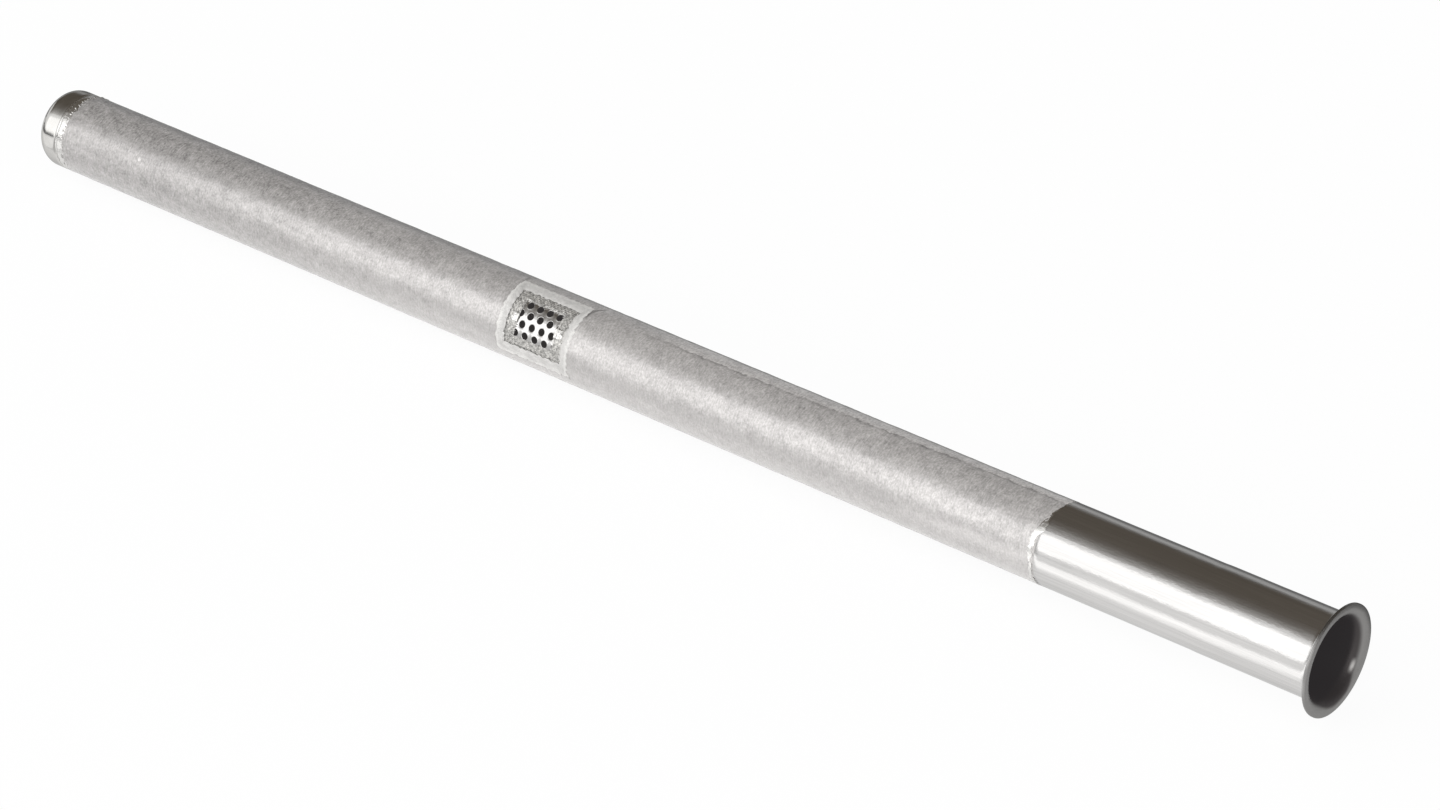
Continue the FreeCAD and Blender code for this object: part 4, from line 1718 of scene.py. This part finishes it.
@dataclass(frozen=True)
class Studio:
    """Plain pale studio: a floor, a soft light beside the camera, a dark ceiling and the camera."""

    focal_length: float = 118.28
    camera_place: Triple = (0.80893343, -0.97124406, 0.78617446)
    camera_right: Triple = (0.77851886, 0.62759083, 0.00617594)
    camera_up: Triple = (-0.33506484, 0.40728304, 0.84961879)
    camera_forward: Triple = (-0.5306976, 0.66351359, -0.52736115)
    light_turns: tuple[float, float] = (3.0, 46.5)
    light_distance: float = 1.5
    light_level: float = 0.92
    light_middle: float = -0.75
    light_length: float = 3.4
    glow: Colour = (1.63, 1.63, 1.63)
    floor_reach: float = 6.0
    floor_level: float = 0.92
    floor_shown: float = 0.93
    ceiling_radius: float = 1.35
    ceiling_turns: tuple[float, float] = (56.0, 171.0)

    def floor_material(self) -> bpy.types.Material:
        """Make the floor's finish: matt, but mostly white to camera, glossy and transmission rays.

        Returns:
            The material.
        """
        bench = Bench("studio_floor")
        shown = self.floor_shown * bench.seen_directly()
        grain = bench.noise((90.0, 90.0, 90.0), 2.0, 0.5)
        lit = bench.tint(grey(self.floor_level), 0.985 + 0.03 * grain)
        matt = bench.node("ShaderNodeBsdfDiffuse", {}, {0: lit})
        white = bench.node("ShaderNodeEmission", {}, {0: (1.0, 1.0, 1.0, 1.0), 1: 1.0})
        return bench.close(bench.node("ShaderNodeMixShader", {}, {0: shown, 1: matt, 2: white}))

    def build_floor(self) -> None:
        """Make the pale floor."""
        mesh = bpy.data.meshes.new("studio_floor")
        side = self.floor_reach
        corners = [(-side, -side, 0.0), (side, -side, 0.0), (side, side, 0.0), (-side, side, 0.0)]
        mesh.from_pydata(corners, [], [(0, 1, 2, 3)])
        floor = bpy.data.objects.new("studio_floor", mesh)
        bpy.context.scene.collection.objects.link(floor)
        mesh.materials.append(self.floor_material())

    def card_material(self, card: Card) -> bpy.types.Material:
        """Make a card's glow, which changes from one side to the other.

        Args:
            card: the card.

        Returns:
            The material.
        """
        bench = Bench(card.name)
        low, high = card.stops[0][0], card.stops[-1][0]
        spot = bench.node("ShaderNodeTexCoord", {}, {}, "Object")
        sideways = bench.node("ShaderNodeSeparateXYZ", {}, {0: spot}, "Y")
        share = bench.node("ShaderNodeMapRange", {"clamp": True}, {0: sideways, 1: low, 2: high})
        stops = [((place - low) / (high - low), colour) for place, colour in card.stops]
        colour = bench.node("ShaderNodeValToRGB", {"stops": stops}, {0: share})
        return bench.close(bench.node("ShaderNodeEmission", {}, {0: colour, 1: 1.0}))

    def build_card(self, card: Card) -> None:
        """Make a card that only reflections show.

        Args:
            card: the card.
        """
        mesh = bpy.data.meshes.new(card.name)
        count = len(card.section)
        points = [(x, y, z) for x in card.ends for y, z in card.section]
        mesh.from_pydata(points, [], [(i, i + 1, count + i + 1, count + i) for i in range(count - 1)])
        mesh.materials.append(self.card_material(card))
        made = bpy.data.objects.new(card.name, mesh)
        bpy.context.scene.collection.objects.link(made)
        made.visible_camera = made.visible_diffuse = made.visible_shadow = False

    def build_strip(self, name: str, height: float, ends: tuple[float, float], levels: Profile) -> None:
        """Make a neutral card that lies flat just over the floor, as wide as its levels reach.

        Args:
            name: name of the card.
            height: its height over the floor, in metres.
            ends: where it ends along the tube, in metres.
            levels: pairs of place across the tube and level.
        """
        section = [(levels[0][0], height), (levels[-1][0], height)]
        self.build_card(Card(name, section, ends, grey_stops(levels)))

    def build_ceiling(self) -> None:
        """Make the dark ceiling, which lightens towards the front and the back."""
        turns = np.radians(np.linspace(*self.ceiling_turns, 60))
        section = [(-self.ceiling_radius * math.cos(a), self.ceiling_radius * math.sin(a)) for a in turns]
        dark = (0.115, 0.100, 0.083)
        stops = [
            (-0.755, (0.57, 0.56, 0.55)),
            (-0.5, (0.29, 0.28, 0.265)),
            (-0.25, (0.16, 0.145, 0.13)),
            (0.1, dark),
            (1.14, dark),
            (1.22, (0.16, 0.15, 0.14)),
            (1.30, grey(0.42)),
            (1.334, grey(0.58)),
        ]
        self.build_card(Card("studio_ceiling", section, (-4.0, 4.0), stops))

    def build_floor_cards(self) -> None:
        """Make the cards on the floor: before the tube, beside the dome and behind the tube."""
        front = [(-0.064, 0.92), (-0.045, 1.5), (-0.033, 1.5), (-0.0225, 0.95)]
        self.build_strip("studio_front_strip", 0.0006, (0.105, 0.3), front)
        shade = [(-0.2, 0.88), (-0.12, 0.7), (-0.03, 0.62), (-0.0225, 0.8)]
        self.build_strip("studio_front_shade", 0.0006, (-0.62, 0.104), shade)
        self.build_strip("studio_dome_lift", 0.0007, (-0.325, -0.262), [(-0.2, 1.15), (-0.024, 1.15)])
        self.build_strip("studio_dome_shade", 0.0009, (-2.4, -0.33), [(-0.45, 0.12), (-0.02, 0.12)])
        self.build_strip("studio_rear_edge", 0.0007, (-2.5, 0.135), [(0.0145, 0.5), (0.04, 0.22)])
        section = [(0.04, 0.0006), (1.5, 0.0006), (1.5, 0.26)]
        rear = grey_stops([(0.04, 0.40), (0.08, 0.21), (0.4, 0.24), (1.0, 0.32), (1.5, 0.45)])
        self.build_card(Card("studio_rear_strip", section, (-2.5, 0.9), rear))

    def build_light_face(self) -> None:
        """Make the bright face of the soft light."""
        near, far = self.light_edges()
        half = self.light_length / 2
        ends = (self.light_middle - half, self.light_middle + half)
        stops = sorted([(far[0], self.glow), (near[0], self.glow)])
        self.build_card(Card("studio_soft_face", [near, far], ends, stops))

    def light_edges(self) -> tuple[tuple[float, float], tuple[float, float]]:
        """Give the two long edges of the soft light.

        Returns:
            The lower and the upper one, as (y, z) in metres.
        """
        low, high = (math.radians(turn) for turn in self.light_turns)
        reach = self.light_distance / math.cos((high - low) / 2)
        lower, upper = ((-reach * math.cos(turn), reach * math.sin(turn)) for turn in (low, high))
        return lower, upper

    def build_light(self) -> None:
        """Make the large soft light beside the camera, whose bright face is a card."""
        low, high = (math.radians(turn) for turn in self.light_turns)
        middle = (low + high) / 2
        across = 2.0 * self.light_distance * math.tan((high - low) / 2)
        data = bpy.data.lights.new("soft_light", "AREA")
        data.shape = "RECTANGLE"
        data.size, data.size_y = self.light_length, across
        data.energy = self.light_level * math.pi * self.light_length * across
        light = bpy.data.objects.new("soft_light", data)
        height, away = math.sin(middle), -math.cos(middle)
        light.location = (self.light_middle, self.light_distance * away, self.light_distance * height)
        facing = Vector((0.0, away, height))
        side = Vector((1.0, 0.0, 0.0))
        light.rotation_euler = Matrix((side, facing.cross(side), facing)).transposed().to_euler()
        light.visible_camera = light.visible_glossy = False
        bpy.context.scene.collection.objects.link(light)

    def build_world(self) -> None:
        """Make the white surroundings, which light the object more from the front than they show."""
        world = bpy.data.worlds.new("studio_world")
        bpy.context.scene.world = world
        world.use_nodes = True
        bench = Bench("studio_world", world.node_tree)
        seen = bench.seen_directly()
        direction = bench.node("ShaderNodeTexCoord", {}, {})
        sideways = bench.node("ShaderNodeSeparateXYZ", {}, {0: direction}, "Y")
        lighting = 0.42 + 0.93 * sideways.between(0.6, -0.6)
        level = lighting * (1.0 - seen) + seen
        background = bench.node("ShaderNodeBackground", {}, {0: (1.0, 1.0, 1.0, 1.0), 1: level})
        bench.close(background, "ShaderNodeOutputWorld")

    def build_camera(self) -> None:
        """Make the camera as the photograph was taken."""
        data = bpy.data.cameras.new("camera")
        data.lens = self.focal_length
        data.sensor_width = 36.0
        data.clip_start, data.clip_end = 0.01, 50.0
        camera = bpy.data.objects.new("camera", data)
        back = -Vector(self.camera_forward)
        turn = Matrix((Vector(self.camera_right), Vector(self.camera_up), back)).transposed()
        camera.matrix_world = Matrix.Translation(Vector(self.camera_place)) @ turn.to_4x4()
        bpy.context.scene.collection.objects.link(camera)
        bpy.context.scene.camera = camera

    def build(self) -> None:
        """Make the studio."""
        bpy.context.scene.view_settings.view_transform = "Standard"
        self.build_floor()
        self.build_ceiling()
        self.build_floor_cards()
        self.build_light_face()
        self.build_light()
        self.build_world()
        self.build_camera()


def main() -> None:
    """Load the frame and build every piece."""
    logging.basicConfig(level=logging.INFO, format="%(name)s %(message)s")
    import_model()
    Studio().build()
    CollarTube().build()
    EndCap().build()
    PerforatedCore().build()
    support = SupportMesh()
    support.build_sleeve()
    support.build_cloth()
    support.build_frays()
    support.build_pressed_edges()
    FilterMesh().build()
    WindowBinding().build()
    CapBraze().build()
    CollarFillet().build()


if __name__ == "__main__":
    main()
